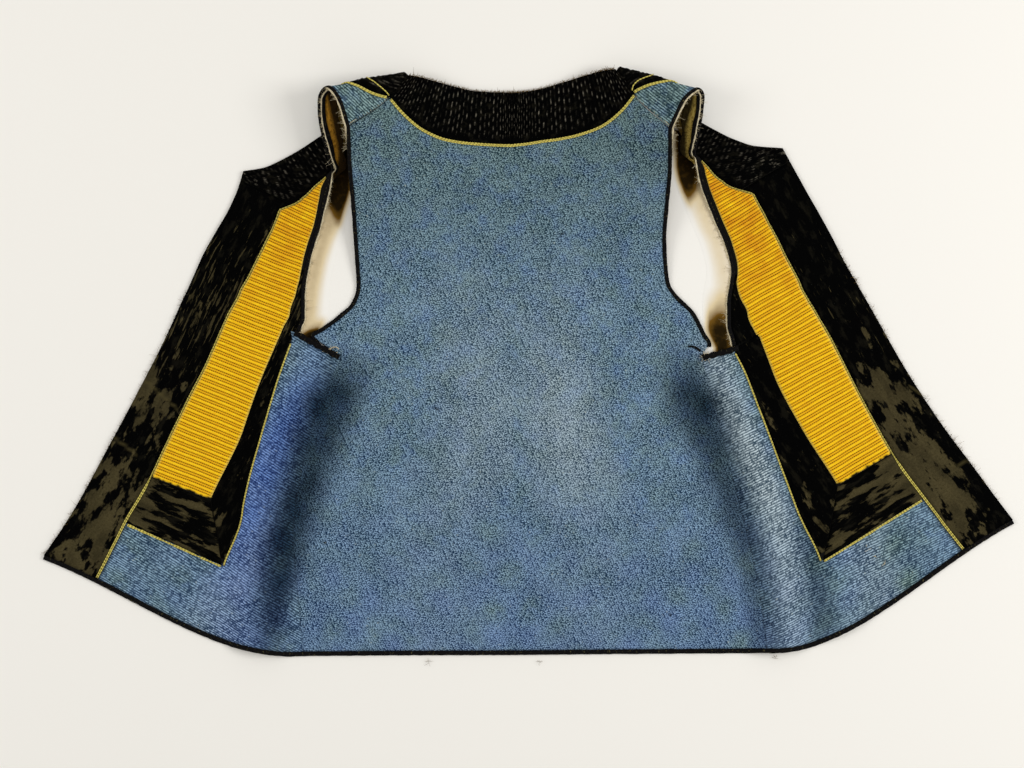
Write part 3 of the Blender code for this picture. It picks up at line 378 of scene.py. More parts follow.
class WaistcoatSizes(PropertyGroup):
    """Sizes that a maker would change."""

    wool: length("Wool", "Thickness of the blue twill", 1.4)
    velvet: length("Velvet", "Thickness of the velvet", 1.2)
    lining: length("Lining", "Thickness of the lining", 1.0)
    rib_pitch: length("Rib pitch", "From one couched cord of a panel to the next", 4.95)
    rib_height: length("Rib height", "How far the couched cords stand up", 1.3)
    gather_height: length("Gather height", "How far the gathers of the neckband stand up", 1.2)
    piping: length("Piping", "Radius of the piping in the neck seam", 0.75)
    braid: length("Braid", "Radius of the yellow braid", 0.6)
    twist: length("Twist", "From one turn of a yellow cord to the next", 2.4)
    roll: length("Slit roll", "Radius of the rolled edge at the side slits", 2.3)
    crease: FloatProperty(name="Creases", description="How deep creases are", default=1.0, min=0.0, max=3.0)
    gathers: IntProperty(name="Gathers", description="Gathers in half the back neckband", default=34, min=8)


class WaistcoatColours(PropertyGroup):
    """Colours of the cloths and threads."""

    wool_dark: shade("Wool, dark yarn", "The dark yarns of the twill", "#0e2b40")
    wool_light: shade("Wool, light yarn", "The light yarns of the twill", "#92b1c6")
    wool_royal: shade("Wool, unfaded", "The light yarns where the wool kept its first blue", "#789cdc")
    # Filter for the painted shade on the ridges' inner slopes, where dye and nap also stay darker
    wool_shadow: shade("Wool, dark nap", "Filter where the nap lies away and the dye kept dark", "#465a66")
    # Also used for the painted light on the outer slopes of the ridges
    wool_pale: shade("Wool, rubbed", "The light yarns where the wool is rubbed pale", "#c8d8de")
    velvet: shade("Velvet pile", "The whole pile of the velvet", "#020202")
    velvet_worn: shade("Velvet ground", "The ground where the pile has worn off", "#37301a")
    silk: shade("Panel silk", "The couched cords of the panels", "#ffd010")
    silk_groove: shade("Panel grooves", "The thin cords between the thick ones", "#d98f08")
    braid: shade("Braid", "The yellow chain stitch and piping", "#ecdc6e")
    binding: shade("Binding", "The tape round the armholes and the hem", "#0b0a0b")
    linen: shade("Interlining", "The raw linen at the armholes", "#efe3c4")
    lining: shade("Lining", "The lining inside the left strap", "#c08a2c")
    lining_faded: shade("Lining, faded", "The lining inside the right strap", "#cdb35e")
    fuzz: shade("Frayed threads", "The threads that fray from the neck edge", "#8a6a24")
    table: shade("Table", "The table top", "#f4f1ea")


def mm(name):
    """A size that a user sets, in millimetres."""
    return getattr(bpy.context.scene.waistcoat_sizes, name) * 1000


def over_wool():
    """Height of what is sewn on the wool above its inner face: the wool's thickness and a small gap."""
    return mm("wool") + SEWN_CLEAR


def curve(knots, values, at):
    """A smooth curve through the knots that never swings past them: cubic pieces with held-in tangents."""
    knots = np.asarray(knots, float)
    values = np.asarray(values, float)
    at = np.clip(np.asarray(at, float), knots[0], knots[-1])
    step = np.diff(knots)
    slope = np.diff(values) / step
    tangent = np.zeros(len(knots))
    tangent[0] = slope[0]
    tangent[-1] = slope[-1]
    for i in range(1, len(knots) - 1):
        if slope[i - 1] * slope[i] > 0:
            first = 2 * step[i] + step[i - 1]
            second = step[i] + 2 * step[i - 1]
            tangent[i] = (first + second) / (first / slope[i - 1] + second / slope[i])
    i = np.clip(np.searchsorted(knots, at, side="right") - 1, 0, len(step) - 1)
    t = (at - knots[i]) / step[i]
    return (
        values[i] * (1 + 2 * t) * (1 - t) ** 2
        + step[i] * tangent[i] * t * (1 - t) ** 2
        + values[i + 1] * t * t * (3 - 2 * t)
        + step[i] * tangent[i + 1] * t * t * (t - 1)
    )


def cornered(values, at, corners):
    """Smooth curves through values at 0, 1, 2 and so on, with a sharp turn allowed at each corner."""
    at = np.clip(at, 0, len(values) - 1)
    ends = [0, *corners, len(values) - 1]
    result = np.zeros(np.shape(at))
    for first, last in zip(ends, ends[1:]):
        part = curve(np.arange(first, last + 1), values[first : last + 1], at)
        result = np.where((at >= first) & (at <= last), part, result)
    return result


def columns_of(table, columns, at, corners):
    """Each named column of a table, read smoothly at row numbers."""
    rows = np.array(table)
    return {name: cornered(rows[:, i], at, corners) for i, name in enumerate(columns.split())}


def read(table, index, at):
    """One column of a table, read smoothly against the table's first column."""
    rows = np.array(table)
    return curve(rows[:, 0], rows[:, index], at)


def run_of(path):
    """Distance travelled along a path at each of its points: the sum of the steps up to it."""
    return np.concatenate([[0], np.cumsum(np.linalg.norm(np.diff(path, axis=0), axis=1))])


def swell(share, peak):
    """A soft swelling along a section, 0 at both ends and 1 at its peak."""
    share = np.clip(share, 0, 1)
    return ((share / peak) ** peak * ((1 - share) / (1 - peak)) ** (1 - peak)) ** 3


def soft_bands(bands, x, y):
    """Sum of bands that run down a side: amount times (1 - (distance from the centre / half width)^2)^2."""
    total = np.zeros(np.shape(x))
    for rows in bands:
        near = np.clip(1 - ((x - read(rows, 1, y)) / read(rows, 3, y)) ** 2, 0, 1) ** 2
        total = total + read(rows, 2, y) * near
    return total


def creases(side, x, y):
    """Sum of creases: height times (1 - (distance to its line / half width)^2)^2, faded at its ends."""
    total = np.zeros(np.shape(x))
    for height, half, line in CREASES[side]:
        ends = np.array(line)
        spans = np.linalg.norm(np.diff(ends, axis=0), axis=1)
        nearest = np.full(np.shape(x), 1e9)
        travelled = np.zeros(np.shape(x))
        for k, span in enumerate(spans):
            dx, dy = (ends[k + 1] - ends[k]) / span
            along = np.clip((x - ends[k, 0]) * dx + (y - ends[k, 1]) * dy, 0, span)
            distance = np.hypot(x - ends[k, 0] - along * dx, y - ends[k, 1] - along * dy)
            travelled = np.where(distance < nearest, (spans[:k].sum() + along) / spans.sum(), travelled)
            nearest = np.minimum(nearest, distance)
        fade = np.clip(travelled * 5, 0, 1) * np.clip((1 - travelled) * 5, 0, 1)
        total = total + height * fade * np.clip(1 - (nearest / half) ** 2, 0, 1) ** 2
    return total


def wobble(x, y, wavelength, seed):
    """Uneven waves of about one length: the mean of six sines that run in seeded directions."""
    rng = np.random.default_rng(seed)
    total = 0.0
    for turn, stretch, start in rng.uniform(0, 1, (6, 3)):
        across = x * np.cos(turn * np.pi) + y * np.sin(turn * np.pi)
        total = total + np.sin(2 * np.pi * (across / (wavelength * (0.7 + 0.7 * stretch)) + start))
    return total / 6


def shoulder_height(side, x, y):
    """Height of the back and the yoke: the armhole edge's height times (1 - distance from it / reach)^2."""
    fall = np.clip(1 - (read(EDGE_LIFT[side], 1, y) - x) / LIFT_REACH, 0, 1) ** 2
    return read(EDGE_LIFT[side], 2, y) * fall


def seen_from_above(x, y, z):
    """Points with raised ones drawn in towards the middle, to where they really stand under the camera."""
    shrink = 1 - z / VIEW_HEIGHT
    return np.stack([x * shrink, y * shrink, z], axis=-1)


def front_table(side):
    """The sections of a front with their bows."""
    rows = np.array([(*row, 0, 0, 0.33) for row in SECTIONS[side]])
    for section, *bow in BOWS[side]:
        rows[section, 4:] = bow
    return rows


def front_point(side, u, share):
    """Inner face of a front: from the side edge (0) to the front edge (1) of section u, bowed and raised."""
    row = columns_of(front_table(side), SECTION_COLUMNS, u, (SLIT_FOOT, SLIT_TIP, NECK_CORNER))
    bulge = swell(share, row["peak"])
    x = row["side_x"] + (row["edge_x"] - row["side_x"]) * share + row["bow_x"] * bulge
    y = row["side_y"] + (row["edge_y"] - row["side_y"]) * share + row["bow_y"] * bulge
    side_z, edge_z, power = (read(LIFTS, k, u) for k in (1, 2, 3))
    strap = edge_z + (side_z - edge_z) * np.clip(1 - share, 0, 1) ** power
    blend = np.clip((u - FOLD_TOP) / (SEAM_TOP - FOLD_TOP), 0, 1)
    blend = blend * blend * (3 - 2 * blend)
    z = strap * (1 - blend) + shoulder_height(side, x, y) * blend + soft_bands(RIDGES[side], x, y)
    return seen_from_above(x, y, z)


def back_point(side, u, share):
    """Inner face of half the back: from the side edge (0) by the neck line (NECK_SHARE) to the middle (1)."""
    row = columns_of(BACK[side], BACK_COLUMNS, u, (SLIT_FOOT, SLIT_TIP))
    outer = np.clip(share / NECK_SHARE, 0, 1)
    inner = np.clip((share - NECK_SHARE) / (1 - NECK_SHARE), 0, 1)
    top = front_table(side)[-1]
    bend = np.clip(u - BACK_TOP + 1, 0, 1) * top[5] * swell(outer, top[6])
    beside = row["side_x"] + (row["neck_x"] - row["side_x"]) * outer
    x = np.where(share < NECK_SHARE, beside, row["neck_x"] * (1 - inner))
    along = row["side_y"] + (row["neck_y"] - row["side_y"]) * outer + bend
    neck = np.array(NECK[side])[::-1]
    chord = neck[-1, 3] + (neck[0, 3] - neck[-1, 3]) * inner
    dip = (curve(neck[:, 2], neck[:, 3], x) - chord) * np.clip((u - 9) / 4, 0, 1) ** 1.5
    straight = row["neck_y"] + (row["middle_y"] - row["neck_y"]) * inner
    y = np.where(share < NECK_SHARE, along, straight + dip)
    return seen_from_above(x, y, shoulder_height(side, x, y) + soft_bands(RIDGES[side], x, y))


def unit(vectors):
    """Vectors divided by their lengths."""
    return vectors / np.maximum(np.linalg.norm(vectors, axis=-1, keepdims=True), 1e-9)


def slopes(surface, side, u, share):
    """How the surface runs with a growing section number and a growing share."""
    step = 0.01
    along = surface(side, u + step, share) - surface(side, u - step, share)
    high = np.clip(share + step, 0, 1)
    low = np.clip(share - step, 0, 1)
    across = surface(side, u, high) - surface(side, u, low)
    return along / (2 * step), across / (high - low)[..., None]


def front_shares(side, u, mark):
    """Shares along a front's sections at whole marks, which are its seams, and between them."""
    rows = np.array(SEAMS[side])
    seams = [cornered(rows[:, k], u, (SLIT_FOOT, SLIT_TIP)) for k in range(3)]
    ends = front_table(side)
    in_slit = (u > SLIT_FOOT) & (u < SLIT_TIP)
    between = np.clip(u - SLIT_FOOT, 0, 1)
    side_x = ends[SLIT_FOOT, 0] + (ends[SLIT_TIP, 0] - ends[SLIT_FOOT, 0]) * between
    edge_x = ends[SLIT_FOOT, 2] + (ends[SLIT_TIP, 2] - ends[SLIT_FOOT, 2]) * between
    for k in range(3):
        low, high = (ends[s, 0] + (ends[s, 2] - ends[s, 0]) * rows[s, k] for s in (SLIT_FOOT, SLIT_TIP))
        straight = (low + (high - low) * between - side_x) / (edge_x - side_x)
        seams[k] = np.where(in_slit, straight, seams[k])
    top = PANEL_TOPS[side]
    upper = np.where(u < top[1][0], read(top[:2], 1, u), read(top[1:], 1, u))
    seams[2] = np.where(u > top[0][0], upper, seams[2])
    seams[2] = np.where(u > PANEL_TIP, read(YOKE[side], 1, u), seams[2])
    whole = np.linalg.norm(front_point(side, u, 1.0 + 0 * u) - front_point(side, u, 0 * u), axis=-1)
    along, across = slopes(front_point, side, u, 0.02 + 0 * u)
    slant = np.maximum(np.linalg.norm(np.cross(unit(along), unit(across)), axis=-1), 0.45)
    bound = np.clip((u - SLIT_TIP) * 2, 0, 1)
    start = (bound * (BINDING_WIDE + GAP) / slant - SEAM_OVERLAP) / whole
    end = 1 - EDGE_INSET / whole
    seams[0] = np.maximum(seams[0], start + LEAST_SPACING / whole)
    seams[1] = np.maximum(seams[1], seams[0] + LEAST_SPACING / whole)
    knots = [start, *seams, end]
    share = np.zeros(np.broadcast_shapes(np.shape(u), np.shape(mark)))
    for k in range(4):
        part = knots[k] + (knots[k + 1] - knots[k]) * (mark - k)
        share = np.where((mark >= k) & (mark <= k + 1), part, share)
    return share


def back_shares(side, u, mark):
    """Shares across half of the back, past the seam's gap or the armhole's binding at the side."""
    bound = np.clip((u - SLIT_TIP) * 2 + 0.5, 0, 1)
    width = np.linalg.norm(back_point(side, u, NECK_SHARE + 0 * u) - back_point(side, u, 0 * u), axis=-1)
    start = NECK_SHARE * (bound * (BINDING_WIDE + GAP) * 1.15 - SEAM_OVERLAP) / width
    return np.maximum(start + (NECK_SHARE - start) * mark / NECK_SHARE, mark)


class Cloth:
    """A front or half of the back, as a surface over section numbers and marks."""

    def __init__(self, side, surface, shares, turn):
        self.side = side
        self.surface = surface
        self.shares = shares
        self.turn = turn

    def face(self, u, mark):
        """Point, normal and share of the inner face, drawn up from the hem by the width of its binding."""
        u = np.asarray(u, float)
        share = self.shares(self.side, u, np.asarray(mark, float))
        points = self.surface(self.side, u, share)
        along, across = slopes(self.surface, self.side, u, share)
        normals = unit(np.cross(across, along)) * self.turn
        across = unit(across)
        upwards = unit(along - np.sum(along * across, axis=-1, keepdims=True) * across)
        drawn = (HEM_WIDE + GAP) * np.clip(1 - u / 0.5, 0, 1)
        return points + upwards * np.broadcast_to(drawn, share.shape)[..., None], normals, share

    def relief(self, points, u):
        """How far creases lift the cloth, less on the strap, which has its own bend."""
        x, y = points[..., 0], points[..., 1]
        rough = 0.35 * wobble(x, y, 70.0, 3) + 0.12 * wobble(x, y, 19.0, 8)
        lift = (creases(self.side, x, y) + rough) * bpy.context.scene.waistcoat_sizes.crease
        return lift * (1 - 0.7 * np.clip((u - 13) / 3, 0, 1) * (self.surface is front_point))

    def place(self, u, mark, lift):
        """Points a height off the inner face, riding over its creases."""
        points, normals, _ = self.face(u, mark)
        u = np.asarray(u, float)
        return points + normals * (lift + self.relief(points, u))[..., None]

    def step(self, u, mark, distance):
        """A distance in millimetres square to a line of marks, as a step in marks."""
        reach = 0.02
        across = (self.face(u, mark + reach)[0] - self.face(u, mark - reach)[0]) / (2 * reach)
        along = unit(self.face(u + reach, mark)[0] - self.face(u - reach, mark)[0])
        slant = np.sum(across * along, axis=-1, keepdims=True)
        return distance / np.linalg.norm(across - slant * along, axis=-1)

    def evenly(self, start, end, mark, spacing, least=2):
        """Section numbers that part a line of marks into equal lengths of about one spacing."""
        fine = np.linspace(start, end, 1500)
        points = self.face(fine, mark)[0]
        travelled = run_of(points)
        count = max(int(round(travelled[-1] / spacing)), least)
        return np.interp(np.linspace(0, travelled[-1], count + 1), travelled, fine), travelled[-1]

    def weave(self, u, share):
        """Cloth coordinates in metres: in from the front edge, and up along it. The back's are x and y."""
        if self.surface is back_point:
            points = self.surface(self.side, u, share)
            flip = -1.0 if self.side == "left" else 1.0
            return np.stack([flip * points[..., 0], points[..., 1]], axis=-1) / 1000
        fine = np.linspace(0, SEAM_TOP, 1500)
        edge = self.surface(self.side, fine, np.full(1500, 0.75))
        start, end = (self.surface(self.side, u, share_there + 0 * u) for share_there in (0.0, 1.0))
        whole = np.linalg.norm(end - start, axis=-1)
        along = np.broadcast_to(np.interp(u, fine, run_of(edge)), share.shape)
        return np.stack([(share - 1) * whole, along], axis=-1) / 1000

    def twill_lines(self, u, share):
        """A front's x and y in metres, turned so that the twill's lines run along the first one."""
        x, y, _ = np.moveaxis(world(self.side, self.surface(self.side, u, share)), -1, 0)
        slope = np.radians(np.where(u > NECK_CORNER + 1, -42.0, -32.0 if self.side == "left" else 25.0))
        along = x * np.cos(slope) + y * np.sin(slope)
        return np.stack([along, y * np.cos(slope) - x * np.sin(slope)], axis=-1) / 1000


def fronts():
    """The cloths of both fronts."""
    return [Cloth(side, front_point, front_shares, 1.0) for side in ("left", "right")]


def backs():
    """The cloths of both halves of the back."""
    return [Cloth(side, back_point, back_shares, -1.0) for side in ("left", "right")]


def world(side, points):
    """Half coordinates to the table's: the left half is turned over the middle line."""
    return points * np.array([-1.0 if side == "left" else 1.0, 1.0, 1.0])


def grid_faces(rows, columns):
    """Quads between the points of a grid, and the points round its rim in order."""
    index = np.arange(rows * columns).reshape(rows, columns)
    quads = np.stack([index[:-1, :-1], index[1:, :-1], index[1:, 1:], index[:-1, 1:]], -1).reshape(-1, 4)
    rim = np.concatenate([index[0, :-1], index[:-1, -1], index[-1, :0:-1], index[:0:-1, 0]])
    return quads, rim


def made_name(name):
    """The name of a piece that stands for the solid of a name."""
    return f"sewn_{name}"


def new_mesh(name, points, faces, material, uv=None, values=None, smooth=True):
    """A closed mesh from points in millimetres, with cloth coordinates and named values at its points."""
    points = np.array(points, float).reshape(-1, 3)
    points[:, 2] = np.maximum(points[:, 2], TABLE_CLEAR)
    quads = faces[:, :4]
    corners = points[quads]
    crossed = np.cross(corners[:, 1] - corners[:, 0], corners[:, 2] - corners[:, 0])
    crossed += np.cross(corners[:, 2] - corners[:, 0], corners[:, 3] - corners[:, 0])
    if np.einsum("ij,ij->i", corners.mean(axis=1) - points.mean(axis=0), crossed).sum() < 0:
        quads = quads[:, ::-1]
    name = made_name(name)
    mesh = bpy.data.meshes.new(name)
    mesh.vertices.add(len(points))
    mesh.vertices.foreach_set("co", ((points - np.array(MIDDLE)) / 1000).astype(np.float32).ravel())
    mesh.loops.add(quads.size)
    mesh.loops.foreach_set("vertex_index", quads.astype(np.int32).ravel())
    mesh.polygons.add(len(quads))
    mesh.polygons.foreach_set("loop_start", np.arange(0, quads.size, 4, dtype=np.int32))
    mesh.update(calc_edges=True)
    mesh.polygons.foreach_set("use_smooth", np.full(len(quads), smooth))
    if uv is not None:
        layer = mesh.uv_layers.new(name="cloth")
        layer.data.foreach_set("uv", np.asarray(uv, np.float32).reshape(-1, 2)[quads.ravel()].ravel())
    for key, value in (values or {}).items():
        layer = mesh.attributes.new(key, "FLOAT", "POINT")
        layer.data.foreach_set("value", np.asarray(value, np.float32).ravel())
    mesh.materials.append(material)
    mesh.validate()
    made = bpy.data.objects.new(name, mesh)
    bpy.context.scene.collection.objects.link(made)
    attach(made, "root")
    return made


def wall(name, outer, inner, material, uv=None, values=None):
    """A closed cloth wall between two grids of points with the same layout."""
    quads, rim = grid_faces(*outer.shape[:2])
    count = outer.shape[0] * outer.shape[1]
    ahead = np.roll(rim, -1)
    side = np.stack([rim, ahead, ahead + count, rim + count], 1)
    faces = np.concatenate([quads, quads[:, ::-1] + count, side])
    twice = {key: np.concatenate([value.ravel(), value.ravel()]) for key, value in (values or {}).items()}
    twice["inside"] = np.repeat([0.0, 1.0], count)
    uv = None if uv is None else np.concatenate([uv.reshape(-1, 2)] * 2)
    points = np.concatenate([outer.reshape(-1, 3), inner.reshape(-1, 3)])
    return new_mesh(name, points, faces, material, uv, twice)


def tube_faces(count, rows, around):
    """Quads round a number of tubes alike, with the ends of each closed by quads that fold over."""
    index = np.arange(count * rows * around).reshape(count, rows, around)
    ahead = np.roll(index, -1, axis=2)
    sides = np.stack([index[:, :-1], ahead[:, :-1], ahead[:, 1:], index[:, 1:]], -1).reshape(-1, 4)
    half = around // 2
    caps = []
    for ring, turn in ((index[:, 0], -1), (index[:, -1], 1)):
        for k in range(half - 1):
            cap = np.stack([ring[:, k], ring[:, k + 1], ring[:, around - 2 - k], ring[:, around - 1 - k]], -1)
            caps.append(cap[:, ::turn])
    return np.concatenate([sides, *caps])


def tubes(name, paths, up, profile, material, values=None):
    """Tubes along paths: at each point a ring of (out, up) offsets square to the path.

    paths is tubes by rows by 3, up the same or one direction, and profile tubes by rows by around by 2.
    """
    forward = unit(np.gradient(paths, axis=1))
    across = unit(np.cross(forward, np.broadcast_to(up, paths.shape)))
    above = np.cross(across, forward)
    rings = paths[:, :, None] + across[:, :, None] * profile[..., :1] + above[:, :, None] * profile[..., 1:]
    count, rows, around = profile.shape[:3]
    travelled = np.cumsum(np.linalg.norm(np.diff(paths, axis=1, prepend=paths[:, :1]), axis=2), axis=1)
    turn = np.linspace(0, 1, around, endpoint=False)
    uv = np.stack(np.broadcast_arrays(turn[None, None] * 0.01, travelled[:, :, None] / 1000), -1)
    return new_mesh(name, rings, tube_faces(count, rows, around), material, uv, values)


def rounded(wide, tall, around):
    """Offsets of a rounded ring, wide and tall by its half sizes."""
    angle = (np.arange(around) + 0.5) * 2 * np.pi / around
    return np.stack([np.cos(angle) * wide, np.sin(angle) * tall], -1)


def twisted(path, radius, pitch, hand, around=8):
    """Ring offsets of a two-ply cord: radius times 1 + 0.2 cos(2 (angle - turn)), and turn grows along it."""
    angle = (np.arange(around) + 0.5) * 2 * np.pi / around
    turn = hand * np.pi * run_of(path) / pitch
    reach = radius * (1 + 0.2 * np.cos(2 * (angle[None] - turn[:, None])))
    return np.stack([np.cos(angle) * reach, np.sin(angle) * reach], -1)


def folded_edge(distance, roll):
    """Height share of a cloth whose edge is turned under: the root of 1 - (1 - distance / roll)^2."""
    return np.sqrt(np.clip(1 - (1 - np.clip(distance / roll, 0, 1)) ** 2, 0, 1))


def rim_distances(points):
    """Distances along a grid from its points to its first row, last row, first column and last column."""
    found = []
    for axis in (0, 1):
        steps = np.linalg.norm(np.diff(points, axis=axis), axis=-1)
        for backwards in (False, True):
            run = np.flip(steps, axis) if backwards else steps
            total = np.cumsum(run, axis=axis)
            total = np.concatenate([np.zeros_like(np.take(total, [0], axis)), total], axis=axis)
            found.append(np.flip(total, axis) if backwards else total)
    return found


def edge_distance(points):
    """Distance of each point of a grid to the nearest rim."""
    return np.min(rim_distances(points), axis=0)


def sewn_edge(points, u, free_columns):
    """How high the wool stands near its rims: down at its edges, and at the side seam only near the hem."""
    rows = rim_distances(points)
    closed = np.clip((u - 1.0) / 0.9, 0, 1) * (u < SLIT_FOOT) * 50.0
    rims = [rows[0], rows[1], rows[2] + closed, *([rows[3]] if free_columns else [])]
    return 0.45 + 0.55 * folded_edge(np.min(rims, axis=0), TURNED_EDGE)


def note_cut(piece, points, fullness=1.0):
    """Keeps the width, length and area in metres of a cloth's flat cut, as it was before it was gathered.

    The width is the grid's longest row, the length its longest column and the area the sum of its triangles.
    """
    across = np.linalg.norm(np.diff(points, axis=1), axis=-1).sum(axis=1).max()
    along = np.linalg.norm(np.diff(points, axis=0), axis=-1).sum(axis=0).max()
    a, b, c, d = points[:-1, :-1], points[1:, :-1], points[1:, 1:], points[:-1, 1:]
    twice = np.linalg.norm(np.cross(b - a, c - a), axis=-1) + np.linalg.norm(np.cross(c - a, d - a), axis=-1)
    across, along, area = across / 1000, along / 1000, twice.sum() / 2e6
    piece["cut"] = (across, along * fullness, min(area, across * along) * fullness)


def lifted(points, normals, height):
    """Points moved a height along their normals."""
    return points + normals * height[..., None]


def between(low, high, columns):
    """Marks from one line of marks to another, spread evenly over a number of columns."""
    low, high = np.broadcast_arrays(low, high)
    return low[:, None] + (high - low)[:, None] * np.linspace(0, 1, columns)[None]


def uneven_steps(*spans):
    """Places over spans that follow each other, each given by its start, its end and how many places."""
    parts = [np.linspace(*span)[:-1] for span in spans[:-1]]
    return np.concatenate([*parts, np.linspace(*spans[-1])])


def join_halves(halves, axis=0):
    """The left half's arrays followed by the right half's run backwards, with their shared middle once."""
    return [np.concatenate([a, np.delete(np.flip(b, axis), 0, axis)], axis) for a, b in zip(*halves)]


def waves_along(place, wavelength, seed):
    """Uneven waves along a line."""
    return wobble(place, place * 0, wavelength, seed)


def finish_piece(piece, slot, *nodes):
    """Hides the solids that a piece stands for and gives the piece back; the slot is not used."""
    if nodes:
        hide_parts(*nodes)
    return piece


def sewn_cloth(name, slot, side, faces, finish, uv, values, fullness=1.0):
    """A cloth wall between an outer and an inner face in half coordinates, with its solid and flat cut."""
    outer, inner = faces
    piece = wall(name, world(side, outer), world(side, inner), finish, uv, values)
    finish_piece(piece, slot, name)
    note_cut(piece, inner, fullness)


# What each name adds: a node's type, its settings, the inputs for the values in order, and the output given
# back, or None for all of them. Any other name is the operation of a Math node.
NODES = {
    "colours": ("ShaderNodeMix", {"data_type": "RGBA"}, (0, 6, 7), 2),
    "filter": ("ShaderNodeMix", {"data_type": "RGBA", "blend_type": "MULTIPLY"}, (0, 6, 7), 2),
    "numbers": ("ShaderNodeMix", {"data_type": "FLOAT"}, (0, 2, 3), 0),
    "range": ("ShaderNodeMapRange", {"clamp": True}, range(5), 0),
    "noise": (
        "ShaderNodeTexNoise",
        {"noise_dimensions": "3D"},
        ("Vector", "Scale", "Detail", "Roughness"),
        "Fac",
    ),
    "lines": (
        "ShaderNodeTexWave",
        {"bands_direction": "Y"},
        ("Vector", "Scale", "Distortion", "Detail", "Detail Scale", "Detail Roughness"),
        "Fac",
    ),
    "cells": ("ShaderNodeTexVoronoi", {"voronoi_dimensions": "2D"}, ("Vector", "Scale", "Randomness"), None),
    "place": ("ShaderNodeMapping", {"vector_type": "POINT"}, ("Vector", "Scale", "Rotation"), 0),
    "scaled": ("ShaderNodeVectorMath", {"operation": "SCALE"}, (0, "Scale"), 0),
    "parts": ("ShaderNodeSeparateXYZ", {}, (0,), None),
    "red": ("ShaderNodeSeparateColor", {}, (0,), 0),
    "value": ("ShaderNodeAttribute", {}, (), "Fac"),
    "cloth": ("ShaderNodeUVMap", {"uv_map": "cloth"}, (), "UV"),
    "relief": ("ShaderNodeBump", {}, ("Height", "Distance", "Strength"), 0),
}


def add_node(tree, kind, *values, **settings):
    """Adds a node with its settings, links the values that are sockets and sets the others."""
    node_type, fixed, inputs, output = NODES.get(kind, ("ShaderNodeMath", {"operation": kind}, range(3), 0))
    made = tree.nodes.new(node_type)
    for key, value in {**fixed, **settings}.items():
        setattr(made, key, value)
    for key, value in zip(inputs, values):
        if isinstance(value, bpy.types.NodeSocket):
            tree.links.new(value, made.inputs[key])
        else:
            made.inputs[key].default_value = value
    return made.outputs if output is None else made.outputs[output]


def new_material(name):
    """A material, a function that adds nodes to it, its shader and its cloth coordinates in millimetres.

    Of one that is already made it gives only the material.
    """
    made = bpy.data.materials.get(name)
    if made is not None:
        return made, None, None, None
    made = bpy.data.materials.new(name)
    made.use_nodes = True
    add = partial(add_node, made.node_tree)
    return made, add, made.node_tree.nodes["Principled BSDF"], add("scaled", add("cloth"), 1000.0)


def dress(add, shader, colour, roughness, gloss, relief, depth, strength):
    """Gives a shader its colour, how matt and how glossy it is, and its relief, its depth in millimetres."""
    links = shader.id_data.links
    links.new(colour, shader.inputs["Base Color"])
    shader.inputs["Roughness"].default_value = roughness
    shader.inputs["Specular IOR Level"].default_value = gloss
    links.new(add("relief", relief, depth / 1000, strength), shader.inputs["Normal"])


def patchy(add, at, size, detail, rough, *span):
    """Noise in patches of about one size in millimetres, a span of it drawn out to 0 to 1 or another span."""
    return add("range", add("noise", at, 1 / size, detail, rough), *span)


def yarn_cells(add, at, size, turn=0.0, randomness=1.0):
    """Cells of one size in millimetres, turned: a random value for each, and the distance to its middle."""
    place = add("place", at, (*size, 1.0), (0.0, 0.0, turn), vector_type="TEXTURE")
    found = add("cells", place, 1.0, randomness)
    return add("red", found["Color"]), found["Distance"]


